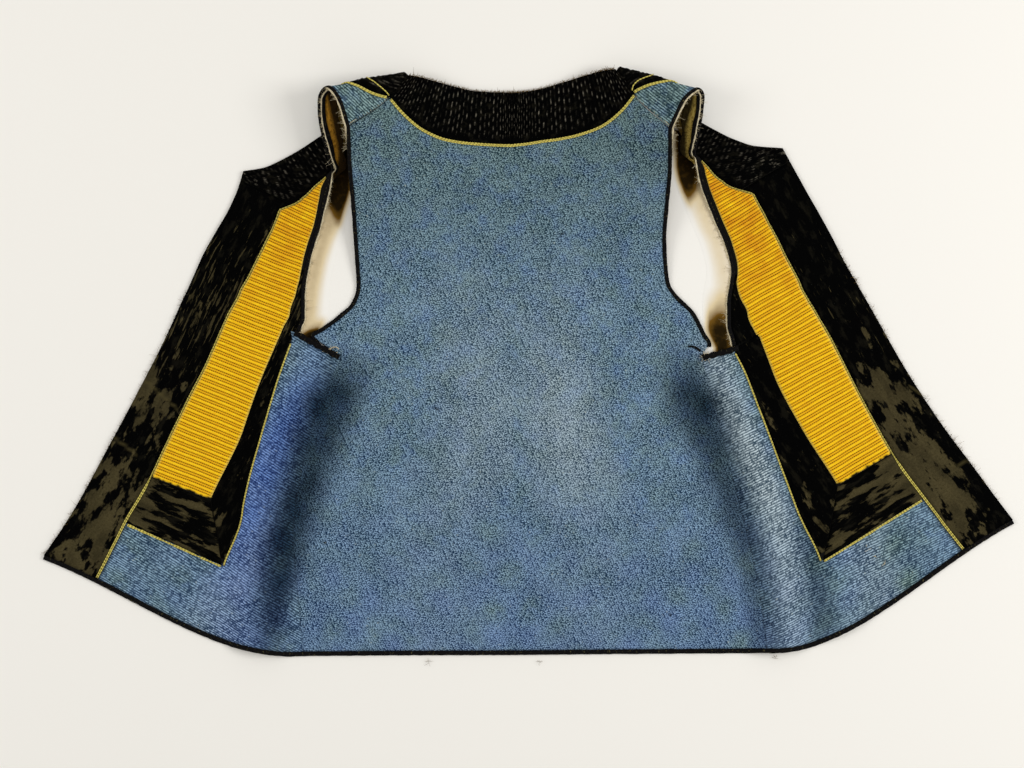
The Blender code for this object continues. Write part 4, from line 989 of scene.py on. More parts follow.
def wool_twill():
    """Blue wool twill, woven from dark and light yarns and worn: a speckle with broken diagonal lines, with
    painted shade and light on the slopes of its ridges.

    The yarns are drawn 2 mm apart, coarser than real ones, so that they show.
    """
    made, add, shader, at = new_material("wool_twill")
    if add is None:
        return made
    tint = bpy.context.scene.waistcoat_colours
    lines = add("lines", at, 0.16, 2.6, 3.0, 1.2, 0.7)
    own, _ = yarn_cells(add, at, (1.7, 1.3), np.radians(50))
    along = add("range", own, 0.1, 0.8, 0.1, 1.15)
    lines = add("MULTIPLY", add("range", lines, 0.3, 0.75, 0.12, 1.0), along)
    own, distance = yarn_cells(add, at, (1.8, 0.85), np.radians(24), 0.75)
    lit = add("MULTIPLY_ADD", own, 0.55, 0.45)
    short = add("MULTIPLY", add("range", distance, 0.6, 0.2), lit)
    short = add("MULTIPLY", add("POWER", short, 1.5), 1.5)
    yarn = add("MULTIPLY", add("numbers", add("value", attribute_name="twill"), short, lines), 1.1)
    patches = patchy(add, at, 34.0, 3.0, 0.5, 0.3, 0.7, -0.1, 0.08)
    yarn = add("ADD", yarn, patches, use_clamp=True)
    base = add("colours", yarn, tint.wool_dark, tint.wool_light)
    green = patchy(add, at, 22.0, 2.0, 0.6, 0.44, 0.64, 0.0, 0.35)
    green = add("MAXIMUM", green, add("value", attribute_name="green"))
    base = add("colours", green, base, add("colours", yarn, linear("#0f2a28"), linear("#88a290")))
    unfaded = add("colours", yarn, linear("#082561"), tint.wool_royal)
    spots = patchy(add, at, 16.0, 2.0, 0.6, 0.46, 0.68, 0.0, 0.3)
    unfaded_share = add("MAXIMUM", spots, add("value", attribute_name="royal"))
    base = add("colours", unfaded_share, base, unfaded)
    # The pale value brings rubbed wool and painted light on the ridges' outer slopes
    rubbed = add("colours", yarn, linear("#2c4353"), tint.wool_pale)
    base = add("colours", add("value", attribute_name="pale"), base, rubbed)
    lint = patchy(add, at, 3.0, 2.0, 0.6, 0.64, 0.72, 0.0, 0.4)
    base = add("colours", add("MULTIPLY", lint, yarn), base, linear("#b8b48c"))
    # The dark value filters painted shade over the inner slopes of the ridges, with their darker dye
    base = add("filter", add("value", attribute_name="dark"), base, tint.wool_shadow)
    # Near-black under the trims: velvet ground and painted shade in the gaps between them
    base = add("colours", add("value", attribute_name="shade_under_trims"), base, linear("#0e0d0b"))
    # The inner face takes the lining's tan, painted darker as shade where it shows inside the folds
    base = add("colours", add("value", attribute_name="inside"), base, linear("#6a5626"))
    shader.inputs["Sheen Weight"].default_value = 0.03
    shader.inputs["Sheen Roughness"].default_value = 0.5
    dress(add, shader, base, 0.92, 0.1, yarn, 0.3, 0.5)
    return made


def crushed_velvet(name, streaks):
    """Cotton velvet, its black pile crushed and worn off to an olive ground, in patches that run one way,
    with painted glints on the crests of its gathers and painted grey glint flecks on the pile.
    """
    made, add, shader, at = new_material(name)
    if add is None:
        return made
    tint = bpy.context.scene.waistcoat_colours
    patch_at = add("place", at, streaks)
    patches = add("noise", patch_at, 1 / 10.0, 5.0, 0.6)
    wear = add("value", attribute_name="wear")
    edge = add("MULTIPLY_ADD", wear, -0.3, 0.72)
    over = add("SUBTRACT", patches, edge)
    worn = add("range", over, -0.02, 0.026)
    fine_at = add("place", at, (streaks[0] * 2.4, streaks[1] * 0.55, 1.0))
    limit = add("MULTIPLY_ADD", add("value", attribute_name="streak"), -0.22, 0.76)
    fine = add("SUBTRACT", add("noise", fine_at, 1 / 5.0, 4.0, 0.6), limit)
    streak = add("range", fine, -0.015, 0.015)
    worn = add("MAXIMUM", worn, add("MULTIPLY", streak, 0.85))
    grain = add("noise", at, 1 / 1.6, 3.0, 0.7)
    ground = add("colours", grain, linear("#0c0a04"), linear("#6a6042"))
    ground = add("colours", 0.4, ground, tint.velvet_worn)
    thin = patchy(add, patch_at, 13.0, 3.0, 0.55, 0.36, 0.62, 0.5, 0.0)
    ground = add("colours", thin, ground, linear("#14120b"))
    # Painted glint flecks: sparse grey flecks on the black pile
    fleck_at = add("place", at, (2.6, 0.8, 1.0))
    flecks = patchy(add, fleck_at, 2.2, 3.0, 0.6, 0.66, 0.74)
    pile = add("colours", add("MULTIPLY", flecks, 0.4), tint.velvet, linear("#383a34"))
    # Painted glints on the crests of the gathers
    glint = patchy(add, at, 2.2, 2.0, 0.6, 0.36, 0.6)
    glint = add("MULTIPLY", add("value", attribute_name="crest"), glint)
    faint = patchy(add, patch_at, 7.0, 4.0, 0.65, 0.53, 0.64, 0.0, 0.5)
    pile = add("colours", faint, pile, linear("#1a1811"))
    pile = add("colours", glint, pile, linear("#8a8373"))
    base = add("colours", worn, pile, ground)
    base = add("colours", add("MULTIPLY", add("value", attribute_name="seam"), 0.5), base, linear("#4d4529"))
    relief = add("MULTIPLY_ADD", worn, -0.6, add("noise", fleck_at, 1 / 1.5, 3.0, 0.6))
    dress(add, shader, base, 0.85, 0.02, relief, 0.5, 0.7)
    return made


def couched_silk():
    """Yellow silk cord couched down with brown silk: bright rounds, and dotted brown grooves between them."""
    made, add, shader, at = new_material("couched_silk")
    if add is None:
        return made
    tint = bpy.context.scene.waistcoat_colours
    split = add("parts", at)
    rib = add("value", attribute_name="rib")
    place = add("FRACT", rib)
    thin = add("ABSOLUTE", add("SUBTRACT", place, 0.8))
    off_thin = add("ABSOLUTE", add("SUBTRACT", thin, 0.2))
    off_start = add("ABSOLUTE", add("SUBTRACT", thin, 0.8))
    away = add("MINIMUM", off_thin, off_start)
    groove = add("range", thin, 0.22, 0.16)
    line = add("range", away, 0.12, 0.05)
    dash = add("SINE", add("MULTIPLY_ADD", split[0], 2 * np.pi / 1.7, add("FLOOR", rib)))
    uneven = add("noise", at, 1 / 1.4, 2.0, 0.6)
    dash = add("MULTIPLY_ADD", uneven, 2.0, add("SUBTRACT", dash, 1.2))
    dots = add("range", dash, -0.3, 0.3)
    dots = add("MULTIPLY", line, add("MAXIMUM", dots, 0.5))
    sheen = add("noise", add("place", at, (0.25, 2.5, 1.0)), 1 / 1.2, 2.0, 0.6)
    gold = add("colours", add("range", sheen, 0.3, 0.7), linear("#f4b403"), linear("#ffe028"))
    gold = add("colours", 0.4, gold, tint.silk)
    grain, _ = yarn_cells(add, at, (1.5, 0.9))
    gold = add("colours", add("MULTIPLY", grain, 0.3), gold, linear("#e69c04"))
    stained = patchy(add, at, 16.0, 4.0, 0.65, 0.35, 0.65)
    stained = add("MULTIPLY", add("value", attribute_name="stain"), stained)
    gold = add("colours", stained, gold, linear("#d78813"))
    base = add("colours", add("MULTIPLY", groove, 0.35), gold, tint.silk_groove)
    base = add("colours", dots, base, linear("#6b3a02"))
    base = add("colours", add("value", attribute_name="wear"), base, linear("#f3dd72"))
    base = add("colours", add("value", attribute_name="gap"), base, linear("#120e06"))
    dress(add, shader, base, 0.55, 0.12, add("SUBTRACT", sheen, dots), 0.3, 0.7)
    return made


def thread(name, colour, dark, size):
    """Spun thread or tape: one colour with darker dips, each about one size in millimetres."""
    made, add, shader, at = new_material(name)
    if add is None:
        return made
    dips = patchy(add, at, size, 3.0, 0.65, 0.35, 0.65)
    base = add("colours", dips, dark, colour)
    dress(add, shader, base, 0.8, 0.15, dips, 0.2, 0.6)
    return made


def braid_silk():
    """Yellow-green silk worked in chain stitch, with a dark gap after each link."""
    made, add, shader, at = new_material("chain_stitch_silk")
    if add is None:
        return made
    along = add("parts", at)[1]
    start = add("MULTIPLY", add("noise", at, 1 / 6.0, 2.0, 0.6), 9.0)
    link = add("SINE", add("MULTIPLY_ADD", along, 2 * np.pi / 2.6, start))
    link = add("range", link, -0.8, 0.1, 0.45, 1.0)
    dips = patchy(add, at, 1.3, 3.0, 0.65, 0.3, 0.6, 0.4, 1.0)
    shown = add("MULTIPLY", link, dips)
    base = add("colours", shown, linear("#4a3d0e"), bpy.context.scene.waistcoat_colours.braid)
    dress(add, shader, base, 0.6, 0.2, shown, 0.3, 0.6)
    return made


def cotton_tape():
    """Black cotton tape folded round the edge, matt, with olive flecks where it is rubbed."""
    made, add, shader, at = new_material("cotton_tape")
    if add is None:
        return made
    flecks = patchy(add, at, 1.8, 3.0, 0.7, 0.6, 0.7)
    tint = bpy.context.scene.waistcoat_colours
    base = add("colours", add("MULTIPLY", flecks, 0.7), tint.binding, linear("#6b6440"))
    dress(add, shader, base, 0.9, 0.08, add("noise", at, 1 / 1.1, 3.0, 0.65), 0.2, 0.6)
    return made


def raw_linen():
    """Undyed linen interlining, cut raw and frayed."""
    return thread("raw_linen", bpy.context.scene.waistcoat_colours.linen, linear("#a5946c"), 1.5)


def cotton_lining(side):
    """Tan cotton lining with fine dark speckles, with painted shade, near black, where it lies deep in the
    fold.
    """
    made, add, shader, at = new_material(f"cotton_lining_{side}")
    if add is None:
        return made
    tint = bpy.context.scene.waistcoat_colours
    colour = tint.lining if side == "left" else tint.lining_faded
    worn = patchy(add, at, 1.6, 4.0, 0.75, 0.38, 0.62)
    base = add("colours", worn, linear("#8a611b" if side == "left" else "#8f7735"), colour)
    own, _ = yarn_cells(add, at, (0.9, 0.9))
    specks = add("GREATER_THAN", own, 0.87 if side == "left" else 0.8)
    base = add("colours", add("MULTIPLY", specks, 0.55), base, linear("#4a3410"))
    # The brown value is painted shade deep in the strap's fold
    base = add("colours", add("value", attribute_name="brown"), base, linear("#120c03"))
    dress(add, shader, base, 0.9, 0.1, worn, 0.2, 0.5)
    return made


def armhole_shadow_paint():
    """Painted shadow on the sheet that lies on the table inside an armhole: the table's own colour at its
    edge, through beige to near-black brown where the shade is deepest.
    """
    made, add, shader, at = new_material("armhole_shadow_paint")
    if add is None:
        return made
    tint = bpy.context.scene.waistcoat_colours
    uneven = patchy(add, at, 5.0, 4.0, 0.6, 0.3, 0.7, -0.05, 0.05)
    stain = add("value", attribute_name="brown")
    stain = add("ADD", stain, add("MULTIPLY", uneven, stain))
    base = add("colours", add("range", stain, 0.0, 0.35), tint.table, linear("#dcc9a2"))
    base = add("colours", add("range", stain, 0.35, 0.75), base, linear("#6b4d18"))
    base = add("colours", add("range", stain, 0.75, 1.0), base, linear("#1f1504"))
    dress(add, shader, base, 0.9, 0.05, add("noise", at, 1 / 1.2, 2.0, 0.5), 0.1, 0.3)
    return made


def frayed_thread():
    """Brown threads that fray out of the neck edge."""
    return thread("frayed_thread", bpy.context.scene.waistcoat_colours.fuzz, linear("#2b2110"), 1.0)


def cloth_values(cloth, points, twill):
    """Where a blue cloth is dark (painted shade with darker dye), royal, pale (rubbed wool and painted light)
    and green, and its kind of twill, from its place on the table.
    """
    side, x, y = cloth.side, points[..., 0], points[..., 1]
    near = wobble(x, y, 34.0, 12)
    # dark: painted shade on the ridges' inner slopes with darker dye, and darker towards the neck
    dark = soft_bands(SHADE_AND_DYE[side], x, y) * (1 + 0.15 * near)
    high = np.clip((y - 60) / 150, 0, 1)
    dark = np.clip(dark + 0.16 * high + 0.05 * near, 0, 1)
    low = np.clip((-y - 20) / 160, 0, 1)
    royal = np.clip(soft_bands(ROYAL[side], x, y) + (0.28 + 0.4 * near) * low, 0, 1)
    green = np.clip(0.6 * high + soft_bands(GREEN[side], x, y), 0, 1)
    # pale: rubbed wool, and painted light on the outer slopes of the ridges
    pale = np.clip(soft_bands(PALE_AND_LIT[side], x, y) + 0.12 * near, 0, 1)
    return {"dark": dark, "royal": royal, "pale": pale, "green": green, "twill": np.full(x.shape, twill)}


def strap_fade(values, u):
    """The same values with those of the flat cloth left out on the strap, which lies over it."""
    for key in ("dark", "royal", "pale"):
        values[key] = values[key] * np.broadcast_to(np.clip(1 - (u - 12) / 3, 0, 1), values[key].shape)
    return values


class WAISTCOAT_OT_wool(Operator):
    """Makes the blue back and fronts."""

    bl_idname = "waistcoat.wool"
    bl_label = "Wool body"

    def execute(self, context):
        thick = mm("wool")
        finish = wool_twill()
        halves = []
        for cloth in backs():
            u = uneven_steps((0, 5, 96), (5, 6, 12), (6, 12.985, 88))[:, None]
            marks = uneven_steps((0, 0.02, 4), (0.02, 0.4, 34), (0.4, 1, 36))[None]
            points, normals, share = cloth.face(u, marks)
            relief = cloth.relief(points, u)
            outer = world(cloth.side, lifted(points, normals, thick * sewn_edge(points, u, False) + relief))
            inner = world(cloth.side, lifted(points, normals, np.maximum(relief - GAP, 0)))
            values = cloth_values(cloth, points, 0.1)
            halves.append((outer, inner, cloth.weave(u, share), *values.values()))
        outer, inner, uv, *parts = join_halves(halves, 1)
        piece = wall("back", outer, inner, finish, uv, dict(zip(values, parts)))
        finish_piece(piece, "blue_wool", "back")
        note_cut(piece, inner)
        for cloth in fronts():
            u = uneven_steps((0, 5, 110), (5, 6, 12), (6, 12, 50), (12, 27.98, 90))[:, None]
            marks = uneven_steps((0, 1, 30), (1, 3, 27), (3, 4, 13))[None]
            points, normals, share = cloth.face(u, marks)
            relief = cloth.relief(points, u)
            outer = lifted(points, normals, thick * sewn_edge(points, u, True) + relief)
            inner = lifted(points, normals, np.maximum(relief - GAP, 0))
            values = strap_fade(cloth_values(cloth, points, 0.8), u)
            mark = np.broadcast_to(marks, points.shape[:2])
            low = np.where(u < SLIT_TIP, 1.0, np.where(u < PANEL_TIP + 1, 0.0, 3.0))
            # Near-black under the velvets and the panel, so that the thin gaps between them show as velvet
            # ground and painted shade, not blue
            values["shade_under_trims"] = ((mark > low - 1e-6) & (u > VELVET_FOOT + 0.01)) | (mark > 2.999)
            uv = cloth.twill_lines(u, share)
            sewn_cloth(f"front_{cloth.side}", "blue_wool", cloth.side, (outer, inner), finish, uv, values)
        return {"FINISHED"}


def velvet_patch(cloth, name, us, low, high, columns, finish, wear, seam=None):
    """A velvet strip on a front from one line of marks to another, with its edges turned under."""
    base = over_wool()
    u = us[:, None]
    points, normals, share = cloth.face(u, between(low, high, columns))
    relief = cloth.relief(points, u)
    uv = cloth.weave(u, share)
    crumple = 0.28 * wobble(uv[..., 0] * 2600, uv[..., 1] * 900, 17.0, 21)
    crumple = crumple + 0.14 * wobble(uv[..., 0] * 1000, uv[..., 1] * 1000, 5.0, 22)
    rise = folded_edge(edge_distance(points), TURNED_EDGE)
    outer = lifted(points, normals, base + relief + mm("velvet") * (0.25 + 0.75 * rise) + crumple * rise)
    inner = lifted(points, normals, base + relief)
    x, y = points[..., 0], points[..., 1]
    streak = np.clip(1 - ((y - 60) / 95) ** 2, 0, 1) * (0.9 if cloth.side == "left" else 0.5)
    values = {"wear": wear(x, y), "streak": streak}
    if seam is not None:
        values["seam"] = seam(x, y)
    sewn_cloth(name, "black_velvet", cloth.side, (outer, inner), finish, uv, values)


def line_mask(x, y, line, half):
    """1 on a line and 0 past its half width."""
    (ax, ay), (bx, by) = line
    span = np.hypot(bx - ax, by - ay)
    dx, dy = (bx - ax) / span, (by - ay) / span
    along = np.clip((x - ax) * dx + (y - ay) * dy, 0, span)
    return np.clip(1.5 - np.hypot(x - ax - along * dx, y - ay - along * dy) / half, 0, 1)


# Worn places of the front bands: x, y, radius and how much more the pile is worn there
WORN = {
    "left": (
        (296, 0, 30, 0.5), (318, -75, 34, 0.35), (336, -128, 44, 0.5), (304, -108, 26, 0.3),
        (288, -40, 30, 0.2), (366, -120, 22, -0.3), (236, 120, 60, -0.4), (256, 60, 40, -0.15),
    ),
    "right": (
        (300, -10, 34, 0.5), (324, -60, 40, 0.65), (352, -104, 34, 0.55), (390, -104, 22, -0.3),
        (352, -40, 26, -0.5), (320, 20, 26, -0.4), (240, 120, 90, -0.5), (200, 30, 50, -0.4),
    ),
}


def wear_of(side, base):
    """How worn the pile is at a place: a base, more or less near the worn places."""

    def wear(x, y):
        total = base + 0.15 * wobble(x, y, 55.0, 31)
        for px, py, radius, amount in WORN[side]:
            total = total + amount * np.clip(1 - ((x - px) ** 2 + (y - py) ** 2) / radius**2, 0, 1)
        return np.clip(total, 0, 1)

    return wear


class WAISTCOAT_OT_velvet(Operator):
    """Makes the velvet bands, inner strips and foot strips of the fronts."""

    bl_idname = "waistcoat.velvet"
    bl_label = "Front velvets"

    def execute(self, context):
        braid = mm("braid")
        down = crushed_velvet("velvet_down", (1.0, 0.42, 1.0))
        across = crushed_velvet("velvet_across", (0.35, 1.3, 1.0))
        seams = {
            "left": (((294.4, 4.0), (267.2, -20.0)), ((322.0, -40.0), (300.0, -56.0))),
            "right": (((318.0, -2.0), (338.0, -16.0)), ((352.0, -66.0), (374.0, -58.0))),
        }
        for cloth in fronts():
            side = cloth.side
            us, _ = cloth.evenly(0.0, BAND_TOP - 0.012, 3.5, 2.2)
            low = 3 + cloth.step(us, 3.1, braid + GAP)

            def seam(x, y, lines=seams[side]):
                return np.max([line_mask(x, y, line, 0.9) for line in lines], axis=0)

            velvet_patch(cloth, f"band_{side}", us, low, 4.0, 30, down, wear_of(side, 0.42), seam)

            us, _ = cloth.evenly(VELVET_FOOT + 0.14, STRIP_TOP, 1.5, 2.2)
            beside = cloth.step(us, 0.2, 0.6)
            low = np.where(us > SLIT_TIP, beside, 1.0 + cloth.step(us, 1.2, GAP))
            high = mitre_mark(us) - cloth.step(us, 1.8, 1.5 * GAP)
            velvet_patch(cloth, f"strip_{side}", us, low, high, 18, down, wear_of(side, 0.4))

            us, _ = cloth.evenly(VELVET_FOOT + 0.015, PANEL_FOOT - 0.012, 2.5, 2.0)
            low = mitre_mark(us) + cloth.step(us, 1.8, GAP)
            high = 3 - cloth.step(us, 2.9, braid + GAP)
            velvet_patch(cloth, f"foot_{side}", us, low, high, 44, across, wear_of(side, 0.62))
        return {"FINISHED"}


def mitre_mark(us):
    """Outer edge of the inner velvet strip: the panel's seam, and below its foot the mitre."""
    return np.interp(us, [VELVET_FOOT, PANEL_FOOT], [1.0, 2.0])


def gathered(phase, across, height, rows):
    """Height and crest of gathers: round ridges along a phase, pinched by uneven rows of stitches across.

    Each gather has its own shift of the rows, and each crest between two rows its own share of light.
    """
    ridge = np.abs(np.cos(np.pi * phase)) ** 0.8
    each = np.round(phase)
    shifted = rows * across + 0.3 * np.sin(2.4 * each) + 0.16 * wobble(phase, across * 3, 5.0, 45) + 0.5
    pinch = 0.4 + 0.6 * np.abs(np.sin(np.pi * shifted)) ** 0.9
    free = np.clip((across - 0.1) / 0.08, 0, 1)
    lit = np.modf(np.abs(np.sin(12.99 * each + 78.23 * np.floor(shifted)) * 437.5))[0]
    crest = np.clip((ridge - 0.92) / 0.08, 0, 1) * np.clip((pinch - 0.78) / 0.16, 0, 1) * free * lit
    return height * ridge * pinch * free, crest


def along_edge(points, edge):
    """For each point of a grid, how far along an edge line its nearest point is, and how far off."""
    flat = points.reshape(-1, 1, 3)
    distance = np.linalg.norm(flat - edge[None], axis=-1)
    nearest = distance.argmin(axis=1)
    return run_of(edge)[nearest].reshape(points.shape[:2]), distance.min(axis=1).reshape(points.shape[:2])


def neck_lines(side, knots):
    """The neckband's seam and edge on half of the back, where they really stand."""
    row = [curve(np.arange(7), np.array(NECK[side])[:, k], knots) for k in range(4)]
    lines = []
    for x, y in (row[:2], row[2:]):
        lines.append(seen_from_above(x, y, shoulder_height(side, x, y))[..., :2])
    return lines


def back_place(side, x, y):
    """Point and normal of the back's inner face over places on the table."""
    step = 0.5
    z = shoulder_height(side, x, y)
    right = shoulder_height(side, x + step, y) - shoulder_height(side, x - step, y)
    up = shoulder_height(side, x, y + step) - shoulder_height(side, x, y - step)
    return np.stack([x, y, z], axis=-1), unit(np.stack([-right, -up, np.full(x.shape, 2 * step)], axis=-1))


class WAISTCOAT_OT_neckband(Operator):
    """Makes the gathered velvet neckband, round the back and over both straps."""

    bl_idname = "waistcoat.neckband"
    bl_label = "Neckband"

    def execute(self, context):
        gathers = context.scene.waistcoat_sizes.gathers
        over, thick, height, piping = over_wool(), mm("velvet"), mm("gather_height"), mm("piping")
        finish = crushed_velvet("velvet_gathered", (1.0, 1.0, 1.0))
        across = uneven_steps((0, 0.06, 4), (0.06, 1, 30))
        halves = []
        for side in ("left", "right"):
            knots = np.linspace(0, 6, gathers * 8 + 1)
            seam, edge = neck_lines(side, knots)
            reach = np.linalg.norm(edge - seam, axis=1)
            start = (piping + GAP) / reach
            t = start[:, None] + (1 - start - GAP / reach)[:, None] * across[None]
            place = seam[:, None] + (edge - seam)[:, None] * t[..., None]
            shaken = 0.5 * wobble(place[..., 0] * 0.3, place[..., 1] * 2, 22.0, 41)
            place[..., 0] += shaken * np.clip(across * 4, 0, 1)
            points, normals = back_place(side, place[..., 0], place[..., 1])
            phase = knots[:, None] / 6 * gathers + 0.22 * waves_along(knots * 9, 7.0, 42)[:, None]
            raised, crest = gathered(phase, across[None], height, 6.0)
            crest = crest * (0.75 + 0.5 * wobble(place[..., 0], place[..., 1], 6.0, 43))
            round_edge = folded_edge(edge_distance(points), TURNED_EDGE)
            top = over + thick * (0.3 + 0.7 * round_edge) + raised * round_edge
            outer = world(side, lifted(points, normals, top))
            inner = world(side, points + normals * over)
            halves.append((outer, inner, place[..., :2] / 1000, crest))
        outer, inner, uv, crest = join_halves(halves)
        # crest carries the painted glints on the tops of the gathers
        values = {"crest": np.clip(crest, 0, 1), "wear": np.full(crest.shape, GATHERED_WEAR)}
        piece = wall("neckband_back", outer, inner, finish, uv, values)
        finish_piece(piece, "black_velvet", "neckband_back")
        note_cut(piece, inner, FULLNESS)
        for cloth in fronts():
            us, _ = cloth.evenly(BAND_TOP + 0.012, SEAM_TOP - 0.02, 4.0, 0.42)
            low = 3 + cloth.step(us, 3.1, piping + GAP)
            u = us[:, None]
            points, normals, share = cloth.face(u, between(low, 4.0, 26))
            fine = np.linspace(NECK_CORNER, SEAM_TOP, 500)
            distance, off = along_edge(points, cloth.face(fine, 4.0)[0])
            fan = np.clip(1 - distance / 6, 0, 1) * points[..., 1] * 0.12
            phase = distance / 3.1 + fan + 0.3 * wobble(distance, off * 0.4, 17.0, 44)
            raised, crest = gathered(phase, np.linspace(0, 1, 26)[None], height, 5.0)
            round_edge = folded_edge(edge_distance(points), TURNED_EDGE)
            relief = cloth.relief(points, u)
            top = over + relief + thick * (0.3 + 0.7 * round_edge) + raised * round_edge
            faces = lifted(points, normals, top), lifted(points, normals, over + relief)
            # crest carries the painted glints on the tops of the gathers
            values = {"crest": np.clip(crest * 0.6, 0, 1), "wear": np.full(crest.shape, GATHERED_WEAR)}
            name, uv = f"neckband_{cloth.side}", cloth.weave(u, share)
            sewn_cloth(name, "black_velvet", cloth.side, faces, finish, uv, values, FULLNESS)
        return {"FINISHED"}


class WAISTCOAT_OT_panels(Operator):
    """Makes the yellow panels of couched cord."""

    bl_idname = "waistcoat.panels"
    bl_label = "Yellow panels"

    def execute(self, context):
        over, pitch, height, braid = over_wool(), mm("rib_pitch"), mm("rib_height"), mm("braid")
        finish = couched_silk()
        for cloth in fronts():
            us, whole = cloth.evenly(PANEL_FOOT + 0.008, PANEL_TIP - 0.1, 2.5, pitch / 11)
            low = 2 + cloth.step(us, 2.2, GAP)
            high = 3 - cloth.step(us, 2.8, braid + GAP)
            points, normals, share = cloth.face(us[:, None], between(low, high, 26))
            uv = cloth.weave(us[:, None], share)
            rib = np.linspace(0, round(whole / pitch), len(us))[:, None]
            rib = rib + 0.09 * wobble(uv[..., 0] * 1000, uv[..., 1] * 1000, 40.0, 51)
            turn = rib % 1.0
            thick_cord = np.abs(np.sin(np.pi * turn / 0.6)) ** 0.7
            thin_cord = 0.6 * np.abs(np.sin(np.pi * (turn - 0.6) / 0.4)) ** 0.7
            round_rib = np.where(turn < 0.6, thick_cord, thin_cord)
            distance = edge_distance(points)
            base = over + cloth.relief(points, us[:, None])
            raised = height * round_rib * folded_edge(distance, 1.0)
            outer = lifted(points, normals, base + PANEL_GROUND + raised)
            inner = lifted(points, normals, base)
            rim = np.clip(1 - distance / 0.7, 0, 1) * 0.5
            most, least = (0.55, 0.1) if cloth.side == "left" else (0.7, 0.15)
            stain = np.clip((points[..., 1] - 40) / 90, 0, 1) * most + least
            run = np.linspace(0, 1, 26)[None] * np.linalg.norm(points[0, -1] - points[0, 0])
            torn = waves_along(run, 4.0, 52) + 0.5 * waves_along(run, 1.9, 53)
            gap = np.clip(1.6 - rim_distances(points)[0] / (1.1 + 1.2 * np.abs(torn)), 0, 1)
            gap = gap * np.clip(0.6 + 3 * torn, 0, 1)
            values = {"rib": rib, "wear": rim, "stain": stain, "gap": gap}
            sewn_cloth(f"panel_{cloth.side}", "yellow_silk", cloth.side, (outer, inner), finish, uv, values)
        return {"FINISHED"}


def chain(name, path, up, radius, spread=0.75, slim=None):
    """A row of chain stitches: two twisted cords side by side, turned opposite ways, slimmer by a share."""
    pitch = mm("twist")
    travelled = run_of(path)
    count = max(int(travelled[-1] / (pitch / 6)), 8)
    even = np.linspace(0, travelled[-1], count)
    path = np.stack([np.interp(even, travelled, path[:, k]) for k in range(3)], -1)
    up = unit(np.stack([np.interp(even, travelled, up[:, k]) for k in range(3)], -1))
    across = unit(np.cross(np.gradient(path, axis=0), up))
    size = np.ones(count)
    if slim is not None:
        size = np.interp(even / travelled[-1], np.linspace(0, 1, len(slim)), slim)
    paths, rings = [], []
    for hand in (-1, 1):
        shaken = hand * radius * spread * size + 0.12 * waves_along(even, 13.0, 61)
        paths.append(path + across * np.reshape(shaken, (-1, 1)))
        rings.append(twisted(paths[-1], radius * 0.72, pitch, hand) * size[:, None, None])
    paths = np.stack(paths)
    up = np.broadcast_to(up, paths.shape)
    finish_piece(tubes(name, paths, up, np.stack(rings), braid_silk()), "yellow_braid", name)


def front_line(cloth, us, marks, lift):
    """A line of points on a front at a height, and the normals there."""
    normals = cloth.face(us, marks)[1]
    return world(cloth.side, cloth.place(us, marks, lift)), world(cloth.side, normals)


class WAISTCOAT_OT_braids(Operator):
    """Makes the yellow piping of the neck seam and the braid along the velvets."""

    bl_idname = "waistcoat.braids"
    bl_label = "Piping and braid"

    def execute(self, context):
        over, piping, braid = over_wool(), mm("piping"), mm("braid")
        halves = []
        for side in ("left", "right"):
            seam, _ = neck_lines(side, np.linspace(0.12, 6, 120))
            points, normals = back_place(side, seam[:, 0], seam[:, 1])
            halves.append((world(side, points + normals * (over + piping)), world(side, normals)))
        chain("piping_back", *join_halves(halves), piping)
        for cloth in fronts():
            side = cloth.side
            us = np.linspace(VELVET_FOOT + 0.03, SLIT_FOOT - 0.1, 160)
            line = front_line(cloth, us, 1 - cloth.step(us, 0.9, braid), over + braid)
            chain(f"braid_inner_{side}", *line, braid, slim=[0.7, 0.7])
            us = uneven_steps((0.02, 5, 160), (5, PANEL_TIP - 0.05, 120))
            slim = np.interp(us, [PANEL_FOOT - 0.1, PANEL_FOOT + 0.1], [1.0, 0.42])
            chain(f"braid_outer_{side}", *front_line(cloth, us, 3.0, over + braid), braid, 1.0, slim)
            line = front_line(cloth, VELVET_FOOT - 0.006, np.linspace(1.05, 2.95, 90), over + braid)
            broken = 0.95 + 0.75 * waves_along(np.arange(90.0), 7.0, 62) * (1.0 if side == "left" else 0.3)
            chain(f"braid_foot_{side}", *line, braid, slim=np.clip(broken, 0.3, 1.5))
            us = np.linspace(FOLD_TOP - 1, SEAM_TOP - 0.3, 60)
            chain(f"piping_{side}", *front_line(cloth, us, 3.0, over + piping), piping)
            us = np.linspace(FOLD_TOP, SEAM_TOP - 0.3, 50)
            line = front_line(cloth, us, 3 + read(YOKE_CORD, 1, us), over + mm("velvet") + 2 * GAP + braid)
            chain(f"braid_yoke_{side}", *line, braid, 0.5, [0.6, 0.6])
        return {"FINISHED"}


def cloth_edge(cloth, edge, inside):
    """Points, normals and outward directions of an edge, given with a line inside as sections and marks."""
    points, normals, _ = cloth.face(*edge)
    away = unit(np.cross(np.gradient(points, axis=0), normals))
    inwards = np.sign(np.sum(away * (cloth.face(*inside)[0] - points), axis=-1, keepdims=True))
    return points, normals, away * -inwards


